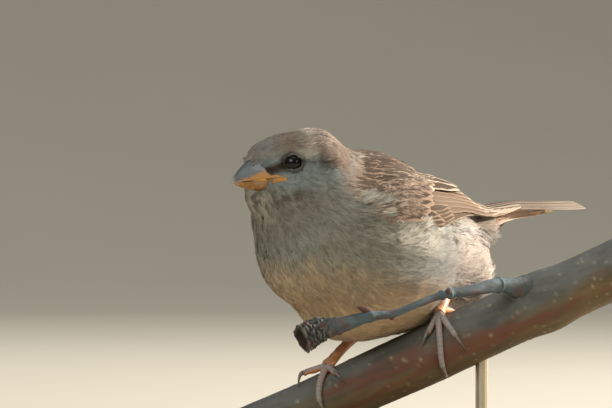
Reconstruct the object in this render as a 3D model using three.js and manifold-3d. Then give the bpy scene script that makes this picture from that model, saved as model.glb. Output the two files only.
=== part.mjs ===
// A young house sparrow on a short cut length of branch, held by a plain display stand.
// Millimetres, +Z up. The origin is the centre of the stand's underside. +X runs along the
// branch as it rises, the bird looks towards -X, and its breast is turned towards -Y.
import * as THREE from "three";
import { LoftGeometry } from "three/addons/geometries/LoftGeometry.js";
import { mergeVertices } from "three/addons/utils/BufferGeometryUtils.js";
import Module from "manifold-3d";

const wasm = await Module();
wasm.setup();

// ---------- driving dimensions ----------
const GAP = 0.3; // clearance between neighbouring pieces

// Local frames: x forward, y to the bird's left, z up.
const BODY = { at: [-8.2, 1.5, 73.6], yaw: 38, pitch: 8 };
const HEAD = { at: [-27.6, -13.1, 96.2], yaw: 13, pitch: -3 };

// Each rounded form: its middle, its reach forwards and back, its half width, its rise
// above and drop below the middle, and how much fuller it is in front than behind.
const FORMS = {
  trunk: { at: [0, 0, 0], front: 33, rear: 33, width: 22.5, top: 22, bottom: 25.8, taper: 0.16 },
  mantle: { at: [1, 0, 9], front: 18, rear: 25, width: 16.5, top: 17.5, bottom: 12, taper: 0.2 },
  vent: { at: [-19, 0, -2], front: 16, rear: 18, width: 16.5, top: 13, bottom: 13, taper: -0.1 },
  undertail: { at: [-24, 0, 12], front: 14, rear: 19, width: 8, top: 3, bottom: 9, taper: 0.3 },
  neck: { at: [18, -1.5, 8], front: 18, rear: 18, width: 16.5, top: 16, bottom: 17, taper: 0 },
};
const HEAD_FORMS = {
  skull: { at: [0, 0, 0], front: 15, rear: 14, width: 10.4, top: 9.8, bottom: 9.6, taper: -0.25, pinch: -0.15 },
  throat: { at: [4.5, 0, -6.6], front: 10.8, rear: 14, width: 8, top: 7, bottom: 9.5, taper: -0.05, pinch: -0.1 },
};
// The slanting cuts behind the head and behind the neck.
const CUTS = { tilt: 35, head: 29, neck: 20 };

// Upper and lower halves of the bill, in the head's frame, from the hidden root to the tip.
const BILL = {
  x: [4.8, 8.2, 13.2, 16.2, 18.9],
  width: [6.8, 5.4, 3.5, 2, 0.35],
  culmen: [-1, 2.6, 2.5, 0, -3.2],
  edge: [-2.5, -2.8, -3.2, -3.4, -3.7],
  gonys: [-6, -7.2, -7, -5.6, -4.2],
};
const EYE = { at: [3.4, 6.5, 1.15], radius: 3 };

// One folded wing: stations back from the wrist, each with the half width, middle height and
// rise of the arc it lies on, and the angles of its lower and upper edges on that arc.
const WING = {
  x: [11, 5, -9, -21, -34, -48],
  width: [23.6, 23.9, 21.8, 16.6, 10.4, 4.6],
  middle: [0, 1, 3, 8, 12.4, 18],
  height: [24, 23.6, 20.6, 13.6, 5.2, 2.6],
  low: [14, 16, 15, 19, 20, 8],
  high: [48, 62, 78, 76, 68, 60],
};
const TAIL = { root: [-15, 14], length: 56.5, lift: 9, arch: 0.8, half: [5, 6.5], roof: 2.4, thick: [2.4, 1] };

const PERCH = { middle: 41.9, rise: 24.5, radius: 7.7, from: -49.5, to: 67 };
const TWIG = {
  points: [[34, -4, 61], [25, -12, 64.6], [17.4, -18.5, 62.6], [12, -21.5, 62], [4.8, -25.5, 59.6],
    [-2.3, -28, 56.9], [-9.2, -30, 56], [-16.3, -31, 53.9], [-26.4, -31.5, 51]],
  root: 3, middle: 1.75, end: 4.1,
};

// Feet on the branch: distance along it, degrees round it from the top towards the breast, and
// the height of a toe's middle off the bark where it differs from a resting toe.
const FEET = {
  left: {
    joint: [15.5, 20], ankle: [17, 12, 67], knee: [6, 2, 72],
    inner: [[12.6, 38], [7.4, 70, 0.6]],
    middle: [[13.3, 62], [10.6, 112], [10.3, 152, 0.6]],
    outer: [[16.6, 65], [17.9, 108, 0.6]],
    hind: [[18.2, -14], [21, -62, 0.6]],
  },
  right: {
    joint: [-17.8, 20], ankle: [-9.5, 12, 51.5], knee: [-16, -2, 62],
    inner: [[-21.4, 14, 1.8], [-24.8, 20, 2.2], [-27.4, 36, 0.6]],
    middle: [[-20.8, 44], [-23.4, 78], [-23.6, 116, 0.6]],
    outer: [[-16.8, 42], [-15.3, 74, 0.6]],
    hind: [[-17.2, -14], [-16.6, -66, 0.6]],
  },
};
const LEG = { tarsus: 1.25, joint: 1.75, toe: 1.05, claw: 0.72, clawLength: 4.6, shank: 2.6, thigh: 6.5 };
const STAND = { length: 104, depth: 78, height: 9, corner: 14, chamfer: 1.2, rod: 1.75, rodAt: 22, bed: 5 };

const COLOURS = {
  crown: 0x8a7a68, breast: 0x9d978a, wing: 0x8f7458, tail: 0xa08a76, horn: 0x7c8288,
  yellow: 0xc08a3c, eye: 0x120d0a, leg: 0xa9785c, claw: 0x6e6259, bark: 0x6d6a5c,
  wood: 0x3a2c22, metal: 0xb9b4a8,
};

// ---------- helpers ----------
const rad = THREE.MathUtils.degToRad;
const mix = THREE.MathUtils.lerp;
const vec = (p) => new THREE.Vector3(...p);
const steps = (count) => Array.from({ length: count + 1 }, (_, i) => i / count);
const round = (count) => steps(count).slice(1).map((s) => 2 * Math.PI * s);

/** A smooth value read from a list of stations at x. */
function along(stations, values, x) {
  const last = stations.length - 1;
  const rising = stations[last] > stations[0] ? 1 : -1;
  let i = 0;
  while (i < last - 1 && (x - stations[i + 1]) * rising > 0) i += 1;
  const part = (x - stations[i]) / (stations[i + 1] - stations[i]);
  const curve = new THREE.SplineCurve(values.map((value, k) => new THREE.Vector2(k, value)));
  return curve.getPoint(THREE.MathUtils.clamp((i + part) / last, 0, 1)).y;
}

/** The matrix of a local frame that stands at a point, turned by yaw from -X and raised by pitch. */
function frameOf({ at, yaw, pitch }) {
  const [a, p] = [rad(yaw), rad(pitch)];
  const forward = new THREE.Vector3(-Math.cos(a) * Math.cos(p), -Math.sin(a) * Math.cos(p), Math.sin(p));
  const left = new THREE.Vector3(Math.sin(a), -Math.cos(a), 0);
  const up = forward.clone().cross(left);
  return new THREE.Matrix4().makeBasis(forward, left, up).setPosition(vec(at));
}

/** A closed geometry as a manifold-3d solid, after a matrix. */
function solid(geometry, matrix = new THREE.Matrix4()) {
  const plain = new THREE.BufferGeometry();
  plain.setAttribute("position", geometry.getAttribute("position").clone());
  if (geometry.index) plain.setIndex(geometry.index.clone());
  const merged = mergeVertices(plain.applyMatrix4(matrix), 1e-4);
  const triVerts = new Uint32Array(merged.index.array);
  const vertProperties = merged.attributes.position.array;
  return new wasm.Manifold(new wasm.Mesh({ numProp: 3, vertProperties, triVerts }));
}

/** A manifold-3d solid back as a geometry. */
function geometryOf(made) {
  const { vertProperties, triVerts, numProp } = made.getMesh();
  const positions = new Float32Array((vertProperties.length / numProp) * 3);
  for (let i = 0; i < positions.length / 3; i++)
    positions.set(vertProperties.subarray(i * numProp, i * numProp + 3), i * 3);
  const geometry = new THREE.BufferGeometry();
  geometry.setAttribute("position", new THREE.BufferAttribute(positions, 3));
  geometry.setIndex(new THREE.BufferAttribute(triVerts, 1));
  geometry.computeVertexNormals();
  return geometry;
}

/** Sections skinned into a solid; a section list that winds the wrong way is turned round first. */
function loft(sections, matrix) {
  const middle = (section) => section.reduce((sum, p) => sum.add(p), new THREE.Vector3()).divideScalar(section.length);
  const [first, second] = sections;
  const centre = middle(first);
  const facing = first.reduce((sum, p, i) => {
    const next = first[(i + 1) % first.length];
    return sum.add(p.clone().sub(centre).cross(next.clone().sub(centre)));
  }, new THREE.Vector3());
  if (facing.dot(middle(second).sub(centre)) < 0) sections.forEach((section) => section.reverse());
  return solid(new LoftGeometry(sections, { capStart: true, capEnd: true }), matrix);
}

const union = (solids) => solids.reduce((all, one) => all.add(one));
const carved = (made, cutters) => cutters.reduce((left, cutter) => left.subtract(cutter), made);

const group = new THREE.Group();

function add(name, made, color, roughness = 0.7) {
  const metalness = color === COLOURS.metal ? 0.9 : 0;
  const mesh = new THREE.Mesh(geometryOf(made), new THREE.MeshStandardMaterial({ color, roughness, metalness }));
  mesh.name = name;
  group.add(mesh);
}

// ---------- perch ----------
const slope = new THREE.Vector3(Math.cos(rad(PERCH.rise)), 0, Math.sin(rad(PERCH.rise)));
const normal = new THREE.Vector3(-slope.z, 0, slope.x);
const perchRadius = (x) => PERCH.radius * (1 + 0.12 * Math.exp(-(((x - 43) / 6) ** 2)) + 0.025 * Math.sin(x / 9));

/** A point by the branch: x along it, turn round it from the top towards the breast, height off its axis. */
function byPerch(x, turn, height) {
  const side = new THREE.Vector3(0, -height * Math.sin(turn), 0);
  return side.addScaledVector(slope, x).addScaledVector(normal, height * Math.cos(turn))
    .add(new THREE.Vector3(0, 0, PERCH.middle));
}

function branch(grow = 0) {
  const sections = steps(12).map((t) => {
    const x = mix(PERCH.from, PERCH.to, t);
    return round(16).map((turn) => byPerch(x, turn, perchRadius(x) + grow));
  });
  return loft(sections);
}

/** A round limb along part of a curve; radius(t) may depend on the distance along it. */
function limb(curve, radius, rings, sides, from = 0, to = 1) {
  const sections = steps(rings).map((s) => {
    const t = mix(from, to, s);
    const [middle, heading] = [curve.getPointAt(t), curve.getTangentAt(t)];
    const across = heading.clone().cross(new THREE.Vector3(0.05, 0.1, 1)).normalize();
    const rise = across.clone().cross(heading);
    return round(sides).map((turn) => middle.clone()
      .addScaledVector(across, radius(t) * Math.cos(turn))
      .addScaledVector(rise, radius(t) * Math.sin(turn)));
  });
  return loft(sections);
}

const spline = (points) => new THREE.CatmullRomCurve3(points.map((p) => (p.isVector3 ? p : vec(p))));

function twig(grow = 0) {
  const thick = (t) => along([0, 0.25, 0.8, 1], [TWIG.root, TWIG.middle, TWIG.middle, TWIG.end], t);
  return limb(spline(TWIG.points), (t) => thick(t) + grow, 16, 8);
}

// ---------- body ----------
const body = frameOf(BODY);
const head = frameOf(HEAD);

/** An egg in a local frame. */
function egg(frame, { at, front, rear, width, top, bottom, taper, pinch = 0 }, rings = 11, sides = 18) {
  const sections = steps(rings).map((t) => {
    const turn = Math.PI * (0.03 + 0.94 * t);
    const girth = Math.sin(turn) * (1 + taper * Math.cos(turn));
    const x = at[0] + Math.cos(turn) * (turn < Math.PI / 2 ? front : rear);
    const half = width * girth * (1 + pinch * Math.cos(turn));
    return round(sides).map((s) => {
      const rise = girth * (Math.sin(s) > 0 ? top : bottom);
      return new THREE.Vector3(x, at[1] + half * Math.cos(s), at[2] + rise * Math.sin(s));
    });
  });
  return loft(sections, frame);
}

/** A plain ball in a local frame. */
const ball = (frame, at, radius) => solid(
  new THREE.SphereGeometry(radius, 12, 8),
  frame.clone().multiply(new THREE.Matrix4().makeTranslation(...at)),
);

/** Half of the bill: from its biting edge up to the culmen, or down to the gonys. */
function bill(outer, grow = 0) {
  const upper = outer === BILL.culmen;
  const last = BILL.x.length - 1;
  const reach = BILL.x[last] + (upper ? 0 : -1.1) + grow;
  const sections = steps(7).map((t) => {
    const x = mix(BILL.x[0] - grow, reach, t);
    const [width, edge, far] = [BILL.width, BILL.edge, outer].map((list) => along(BILL.x, list, x));
    const base = edge + (upper ? -grow : grow - GAP);
    const rise = Math.max(Math.abs(far - edge), 0.4) * (upper ? 1 : -1);
    return steps(7).map((s) => {
      const turn = Math.PI * s;
      const side = Math.sign(Math.cos(turn)) * Math.abs(Math.cos(turn)) ** 0.85;
      return new THREE.Vector3(
        x,
        (width + grow) * side,
        base + (rise + Math.sign(rise) * 2 * grow) * Math.sin(turn) ** 1.15,
      );
    });
  });
  return loft(sections, head);
}

/** Part of a folded wing: between two stations, and between two shares of its height. */
function wing(side, [front, back], [low, high], [depthFront, depthBack], grow = 0) {
  const sections = steps(6).map((t) => {
    const x = mix(front + grow, back - grow, t);
    const [width, middle, height, floor, roof] = [WING.width, WING.middle, WING.height, WING.low, WING.high]
      .map((list) => along(WING.x, list, x));
    const spread = grow / Math.max(width, 4);
    const face = (v, inwards) => {
      const turn = mix(rad(mix(floor, roof, low)) - spread, rad(mix(floor, roof, high)) + spread, v);
      return new THREE.Vector3(
        x,
        side * (width - inwards) * Math.cos(turn),
        middle + (height - inwards) * Math.sin(turn),
      );
    };
    const depth = mix(depthFront, depthBack, t) + grow;
    return [...steps(4).map((v) => face(v, -grow)), ...steps(4).reverse().map((v) => face(v, depth))];
  });
  return loft(sections, body);
}

/** The folded tail: a shallow roof that widens and lifts towards its tip. */
function tail(grow = 0) {
  const sections = steps(8).map((t) => {
    const run = mix(-grow, TAIL.length + grow, t);
    const share = run / TAIL.length;
    const half = mix(TAIL.half[0], TAIL.half[1], share) + grow;
    const x = TAIL.root[0] - run * Math.cos(rad(TAIL.lift));
    const ridge = TAIL.root[1] + run * Math.sin(rad(TAIL.lift)) - TAIL.arch * Math.sin(Math.PI * share);
    const thick = mix(TAIL.thick[0], TAIL.thick[1], share) + 2 * grow;
    const face = (v, lift) => {
      const y = half * (2 * v - 1);
      return new THREE.Vector3(x, y, ridge - TAIL.roof * (y / TAIL.half[1]) ** 2 + lift);
    };
    return [...steps(5).map((v) => face(v, thick / 2)), ...steps(5).reverse().map((v) => face(v, -thick / 2))];
  });
  return loft(sections, body);
}

const WING_PARTS = {
  coverts: [[11, -9], [0, 1], [3.4, 2.6]],
  secondaries: [[-9.4, -34], [0.36, 1], [2.6, 1]],
  primaries: [[-9.4, -48], [0, 0.33], [2.6, 1]],
};
const wingParts = [["left", 1], ["right", -1]].flatMap(([sideName, side]) =>
  Object.entries(WING_PARTS).map(([part, sizes]) => ({ name: `wing_${sideName}_${part}`, side, sizes })));

// ---------- legs ----------
/** The pieces of one leg, each with a grown copy that cuts its neighbours. */
function leg(side) {
  const foot = FEET[side];
  const onPerch = ([x, turn], height) => byPerch(x, rad(turn), perchRadius(x) + GAP + height);
  const joint = onPerch(foot.joint, LEG.joint);
  const ankle = vec(foot.ankle);
  const shin = spline([joint, joint.clone().lerp(ankle, 0.5).add(new THREE.Vector3(-0.4, -0.4, 0.5)), ankle]);
  const shinRadius = (t) => LEG.tarsus + (LEG.joint - LEG.tarsus) * (2 * t - 1) ** 4;
  const knee = vec(foot.knee);
  const shank = spline([ankle.clone().lerp(knee, -0.1), ankle.clone().lerp(knee, 0.5), knee]);
  const shankRadius = (t) => mix(LEG.shank, LEG.thigh, Math.sin((Math.PI / 2) * t));
  const pieces = [
    { name: `thigh_${side}`, make: (grow) => limb(shank, (t) => shankRadius(t) + grow, 5, 10), slot: "breast" },
    { name: `tarsus_${side}`, make: (grow) => limb(shin, (t) => shinRadius(t) + grow, 6, 8, 0, 0.95), slot: "leg" },
  ];
  for (const toe of ["middle", "inner", "outer", "hind"]) {
    const path = [[...foot.joint, LEG.joint], ...foot[toe].map(([x, turn, lift = LEG.toe]) => [x, turn, lift])];
    const index = path.map((_, i) => i);
    const curve = spline(steps(9).map((t) => {
      const [x, turn, height] = [0, 1, 2].map((k) => along(index, path.map((p) => p[k]), t * (path.length - 1)));
      return onPerch([x, turn], height);
    }));
    const knuckle = 1.2 / curve.getLength();
    const end = 1 - LEG.clawLength / curve.getLength();
    const start = end + (GAP * 1.1) / curve.getLength();
    const radius = (t) => (t <= end
      ? LEG.toe * (1.05 - 0.22 * (t / end)) * (1 + 0.07 * Math.cos((14 * t) / end))
      : mix(LEG.claw, 0.26, ((t - start) / (1 - start)) ** 1.3));
    pieces.push(
      { name: `toe_${side}_${toe}`, make: (grow) => limb(curve, (t) => radius(t) + grow, 6, 6, knuckle, end), slot: "leg" },
      { name: `claw_${side}_${toe}`, make: () => limb(curve, radius, 4, 6, start, 1), slot: "claw" },
    );
  }
  return pieces;
}

const limbs = ["left", "right"].map(leg);
for (const pieces of limbs) {
  const done = [];
  for (const { name, make, slot } of pieces) {
    add(name, carved(make(0), done), COLOURS[slot], 0.5);
    if (!name.startsWith("claw")) done.push(make(GAP));
  }
}

// ---------- the flesh, cut into head, neck and trunk ----------
const bills = [BILL.culmen, BILL.gonys];
const eyes = [EYE.at, [EYE.at[0], -EYE.at[1], EYE.at[2]]];
const flesh = union([
  ...Object.values(FORMS).map((form) => egg(body, form)),
  ...Object.values(HEAD_FORMS).map((form) => egg(head, form)),
]);
const cleared = carved(flesh, [
  branch(GAP),
  twig(GAP),
  tail(GAP),
  ...bills.map((outer) => bill(outer, GAP)),
  ...eyes.map((at) => ball(head, at, EYE.radius + GAP)),
  ...wingParts.map(({ side, sizes }) => wing(side, ...sizes, GAP)),
  ...limbs.flat().filter(({ name }) => !name.startsWith("claw")).map(({ make }) => make(GAP)),
]);

/** A block across the body between two distances along the tilted neck line. */
function block(from, to) {
  const box = new THREE.BoxGeometry(to - from, 200, 200).translate((from + to) / 2, 0, 0);
  return solid(box, body.clone().multiply(new THREE.Matrix4().makeRotationY(-rad(CUTS.tilt))));
}

add("head", cleared.intersect(block(CUTS.head + GAP, 120)), COLOURS.crown);
add("neck", cleared.intersect(block(CUTS.neck + GAP, CUTS.head)), COLOURS.crown);
add("trunk", cleared.intersect(block(-120, CUTS.neck)), COLOURS.breast);
add("bill_upper", bill(BILL.culmen), COLOURS.horn, 0.4);
add("bill_lower", bill(BILL.gonys), COLOURS.yellow, 0.4);
add("eye_left", ball(head, eyes[0], EYE.radius), COLOURS.eye, 0.1);
add("eye_right", ball(head, eyes[1], EYE.radius), COLOURS.eye, 0.1);
for (const { name, side, sizes } of wingParts) add(name, wing(side, ...sizes), COLOURS.wing);
add("tail", carved(tail(), wingParts.map(({ side, sizes }) => wing(side, ...sizes, GAP))), COLOURS.tail);

// ---------- perch and stand ----------
function rod(x, grow = 0) {
  const top = PERCH.middle + x * Math.tan(rad(PERCH.rise)) - 2 + grow;
  const bottom = STAND.height - STAND.bed - grow;
  const bar = new THREE.CylinderGeometry(STAND.rod + grow, STAND.rod + grow, top - bottom, 14);
  return solid(bar.rotateX(Math.PI / 2).translate(x, 0, (top + bottom) / 2));
}

const rods = [["left", -STAND.rodAt], ["right", STAND.rodAt]];
const holes = rods.map(([, x]) => rod(x, GAP));

function base() {
  const [w, d, r] = [STAND.length / 2 - STAND.chamfer, STAND.depth / 2 - STAND.chamfer, STAND.corner];
  const plan = new THREE.Shape();
  plan.moveTo(-w + r, -d);
  plan.lineTo(w - r, -d).absarc(w - r, -d + r, r, -Math.PI / 2, 0);
  plan.lineTo(w, d - r).absarc(w - r, d - r, r, 0, Math.PI / 2);
  plan.lineTo(-w + r, d).absarc(-w + r, d - r, r, Math.PI / 2, Math.PI);
  plan.lineTo(-w, -d + r).absarc(-w + r, -d + r, r, Math.PI, 1.5 * Math.PI);
  const edge = { bevelThickness: STAND.chamfer, bevelSize: STAND.chamfer, bevelSegments: 2 };
  const slab = new THREE.ExtrudeGeometry(plan, { depth: STAND.height - 2 * STAND.chamfer, curveSegments: 4, ...edge });
  return solid(slab.translate(0, 0, STAND.chamfer));
}

add("perch_branch", carved(branch(), holes), COLOURS.bark, 0.85);
add("perch_twig", twig().subtract(branch(GAP)), COLOURS.bark, 0.85);
add("stand_base", carved(base(), holes), COLOURS.wood, 0.4);
for (const [name, x] of rods) add(`stand_rod_${name}`, rod(x), COLOURS.metal, 0.35);

export default group;
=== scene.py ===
"""A young house sparrow on a cut branch and a display stand, dressed in feathers.

Laid out as an add-on: each operator makes one piece, or one group of like pieces, round the solids.
Shapes are worked out in millimetres and stored in metres.
"""

import math

import bpy
import numpy as np
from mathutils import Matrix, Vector
from mathutils.bvhtree import BVHTree


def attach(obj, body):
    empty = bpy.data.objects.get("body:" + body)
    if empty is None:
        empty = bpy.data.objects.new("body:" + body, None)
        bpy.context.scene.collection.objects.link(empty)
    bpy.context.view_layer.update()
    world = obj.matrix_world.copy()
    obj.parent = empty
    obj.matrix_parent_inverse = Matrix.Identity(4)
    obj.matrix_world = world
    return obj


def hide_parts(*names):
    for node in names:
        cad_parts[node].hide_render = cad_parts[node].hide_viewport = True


bl_info = {
    "name": "House sparrow on a perch",
    "version": (1, 0, 0),
    "blender": (4, 5, 0),
    "location": "3D View > Sidebar > Sparrow",
    "description": "Builds a feathered house sparrow, its branch, stand and stage",
    "category": "Object",
}

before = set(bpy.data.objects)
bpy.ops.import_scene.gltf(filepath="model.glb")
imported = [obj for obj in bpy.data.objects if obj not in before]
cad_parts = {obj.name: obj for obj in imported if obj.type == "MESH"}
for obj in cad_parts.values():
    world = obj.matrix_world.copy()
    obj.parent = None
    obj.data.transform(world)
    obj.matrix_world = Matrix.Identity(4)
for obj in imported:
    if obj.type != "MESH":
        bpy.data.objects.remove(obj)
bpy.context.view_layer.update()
MM = 0.001

# ---------- frames, in millimetres, as in the part's source ----------


def axes_of(at, yaw, pitch):
    """Origin, and rows forward, left and up, of a frame turned by yaw from -X and raised by pitch."""
    a, p = math.radians(yaw), math.radians(pitch)
    forward = np.array([-math.cos(a) * math.cos(p), -math.sin(a) * math.cos(p), math.sin(p)])
    left = np.array([math.sin(a), -math.cos(a), 0.0])
    return np.array(at, float), np.array([forward, left, np.cross(forward, left)])


BODY = axes_of((-8.2, 1.5, 73.6), 38, 8)
HEAD = axes_of((-27.6, -13.1, 96.2), 13, -3)
EYE_AT = (2.9, 6.5, 0.72)
BILL_ROOT = (9.5, 0.0, -1.5)
PERCH_MIDDLE, PERCH_RISE, PERCH_RADIUS = 41.9, 24.5, 7.7
PERCH_FROM, PERCH_TO = -49.5, 67.0
EYE_RADIUS, EYE_FRONT = 2.94, (3.8, 8.7, 1.5)
TAIL_LENGTH, TAIL_PITCH = 56.5, 9

# the skin: how far the solids swell or shrink before they are merged, and rounds of smoothing
FLESH_SWELL, EYE_SWELL, BILL_SWELL = 0.22, -0.3, -0.6
EVEN_ROUNDS, LAST_ROUNDS, NECK_ROUNDS = 6, 3, 160

# the coat: triangles in one piece, plumes for each group, gaps between roots, and how they are sought
MOST_TRIANGLES, VARIANTS = 190_000, 12
LEAST_GAP, GAP_BY_LENGTH, QUICK_GAP = 0.17, 0.082, 1.7
TRIES, GAP_STEP = 5, 1.15
MOST_BEND = 0.6  # cosine of the sharpest turn of the ground that a feather may lie over
FIRM_EDGE, NO_STREAK = 0.66, -1.0
SPECK, UV_MARGIN = 0.0015, 0.0005


def into(frame_axes, points):
    """Row-frame points, in millimetres, in a local frame."""
    return (np.asarray(points, float) - frame_axes[0]) @ frame_axes[1].T


def out_of(frame_axes, points):
    """Local points back in the row frame."""
    return np.asarray(points, float) @ frame_axes[1] + frame_axes[0]


def turned(frame_axes, directions):
    """Local directions in the row frame."""
    return np.asarray(directions, float) @ frame_axes[1]


def smooth(low, high, x):
    """0 below low, 1 above high, and a soft step between."""
    t = np.clip((np.asarray(x, float) - low) / (high - low), 0, 1)
    return t * t * (3 - 2 * t)


def unit(v):
    """Directions of length 1."""
    return v / np.maximum(np.linalg.norm(v, axis=-1, keepdims=True), 1e-9)


def around(count):
    """Angles spread evenly over one turn."""
    return np.linspace(0, 2 * math.pi, count, endpoint=False)


def hump(*offsets):
    """1 where every offset is 0, and less the further they are from it."""
    return np.exp(-sum(offset**2 for offset in offsets))


def head_reach(x, z):
    """How far up and forward a point of the body frame lies: the head begins at about 25."""
    return x * 0.82 + z * 0.57


def blend(one, other, mask):
    """A colour between two, by a mask of one number a point."""
    return one + (other - one) * np.clip(np.asarray(mask, float), 0, 1)[..., None]


def stations(xs, values, x):
    """A smooth value read from a list of stations; xs may rise or fall."""
    xs, values = np.asarray(xs, float), np.asarray(values, float)
    if xs[0] > xs[-1]:
        xs, values = xs[::-1], values[::-1]
    x = np.clip(x, xs[0], xs[-1])
    i = np.clip(np.searchsorted(xs, x, side="right") - 1, 0, len(xs) - 2)
    slopes = np.gradient(values, xs)
    h = xs[i + 1] - xs[i]
    t = (x - xs[i]) / h
    return ((2 * t**3 - 3 * t**2 + 1) * values[i] + (t**3 - 2 * t**2 + t) * h * slopes[i]
            + (3 * t**2 - 2 * t**3) * values[i + 1] + (t**3 - t**2) * h * slopes[i + 1])


def waves(p, scale, seed, octaves=3):
    """Smooth noise in -1..1, summed from sines that run in seeded directions."""
    rng = np.random.default_rng(seed)
    p = np.asarray(p, float)
    total, weight = np.zeros(p.shape[:-1]), 0.0
    for octave in range(octaves):
        for _ in range(4):
            way = unit(rng.normal(size=p.shape[-1])) * (2**octave / scale) * rng.uniform(0.7, 1.4)
            total += np.sin(p @ way * 2 * math.pi + rng.uniform(0, 6.28)) * 0.6**octave
        weight += 4 * 0.6**octave * 0.5
    return np.clip(total / weight, -1, 1)


# ---------- meshes ----------


def mesh_piece(name, points, faces, material, slot, tint, core=None, lay=None, uvs=None, normals=None):
    """A mesh object from arrays in millimetres, riding on the fixed model."""
    mesh = bpy.data.meshes.new(name)
    points, faces = np.asarray(points, np.float32) * MM, np.asarray(faces, np.int32)
    mesh.vertices.add(len(points))
    mesh.vertices.foreach_set("co", points.ravel())
    mesh.loops.add(faces.size)
    mesh.loops.foreach_set("vertex_index", faces.ravel())
    mesh.polygons.add(len(faces))
    mesh.polygons.foreach_set("loop_start", np.arange(0, faces.size, faces.shape[1], dtype=np.int32))
    mesh.polygons.foreach_set("use_smooth", np.full(len(faces), True))
    mesh.update(calc_edges=True)
    for key, values in (("tint", tint), ("core", core)):
        if values is not None:
            rgba = np.ones((len(points), 4), np.float32)
            rgba[:, :3] = values
            mesh.attributes.new(key, "FLOAT_COLOR", "POINT").data.foreach_set("color", rgba.ravel())
    if lay is not None:
        layer = mesh.attributes.new("lay", "FLOAT_VECTOR", "POINT")
        layer.data.foreach_set("vector", np.asarray(lay, np.float32).ravel())
    if uvs is not None:
        layer = mesh.uv_layers.new(name="OFBake")
        layer.data.foreach_set("uv", np.asarray(uvs, np.float32)[faces.ravel()].ravel())
    if normals is not None:
        mesh.normals_split_custom_set_from_vertices(np.asarray(normals, np.float32))
    mesh.materials.append(material)
    piece = bpy.data.objects.new(name, mesh)
    bpy.context.scene.collection.objects.link(piece)
    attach(piece, "root")
    return piece


def triangles(faces):
    """Quads cut into triangles."""
    return np.concatenate([faces[:, [0, 1, 2]], faces[:, [0, 2, 3]]])


def grid_faces(rows, columns, wrap=False):
    """Quads of a rows by columns grid of points; wrap joins the last column to the first."""
    i, j = np.meshgrid(np.arange(rows - 1), np.arange(columns if wrap else columns - 1), indexing="ij")
    a = (i * columns + j).ravel()
    b = (i * columns + (j + 1) % columns).ravel()
    return np.stack([a, b, b + columns, a + columns], 1)


def loft(rings):
    """Points and triangles of a closed skin over rings of equal size, with a fan over each end."""
    rings = np.asarray(rings, float)
    rows, columns = rings.shape[:2]
    points = np.concatenate([rings.reshape(-1, 3), rings[0].mean(0)[None], rings[-1].mean(0)[None]])
    first, last = rows * columns, rows * columns + 1
    j = np.arange(columns)
    k = (j + 1) % columns
    start = np.stack([np.full(columns, first), k, j], 1)
    end = np.stack([np.full(columns, last), j + (rows - 1) * columns, k + (rows - 1) * columns], 1)
    return points, np.concatenate([triangles(grid_faces(rows, columns, True)), start, end])


def facing_out(points, faces):
    """The faces of a closed shape, turned round if they enclose a negative volume."""
    a, b, c = (points[faces[:, i]] - points.mean(0) for i in range(3))
    return faces if np.einsum("ij,ij->i", a, np.cross(b, c)).sum() > 0 else faces[:, ::-1]


def joined(parts):
    """Several (points, faces) as one."""
    points, faces, start = [], [], 0
    for p, f in parts:
        points.append(p)
        faces.append(np.asarray(f) + start)
        start += len(p)
    return np.concatenate(points), np.concatenate(faces)


def spline(points, count):
    """Evenly spaced points on a smooth curve through some points."""
    points = np.asarray(points, float)
    chord = np.concatenate([[0], np.cumsum(np.linalg.norm(np.diff(points, axis=0), axis=1))])
    fine = np.linspace(0, chord[-1], 400)
    dense = np.stack([stations(chord, points[:, k], fine) for k in range(3)], 1)
    run = np.concatenate([[0], np.cumsum(np.linalg.norm(np.diff(dense, axis=0), axis=1))])
    want = np.linspace(0, run[-1], count)
    return np.stack([np.interp(want, run, dense[:, k]) for k in range(3)], 1)


def ring_frames(path):
    """Two side directions at each point of a path, carried along it without twist."""
    heading = unit(np.gradient(path, axis=0))
    side = np.zeros_like(path)
    last = unit(np.cross(heading[0], (0.05, 0.1, 1.0)))
    for i, t in enumerate(heading):
        last = unit(last - t * (last @ t))
        side[i] = last
    return side, np.cross(side, heading)


def tube(path, radii, sides=24):
    """Points and triangles of a round limb; radii may be one column, or two for across and up."""
    side, rise = ring_frames(path)
    radii = np.asarray(radii, float)
    radii = radii[:, None] * np.ones(2) if radii.ndim == 1 else radii
    turn = around(sides)
    rings = (path[:, None] + side[:, None] * (radii[:, 0, None] * np.cos(turn))[..., None]
             + rise[:, None] * (radii[:, 1, None] * np.sin(turn))[..., None])
    points, faces = loft(rings)
    return points, facing_out(points, faces)


# ---------- shader wiring ----------


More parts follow.
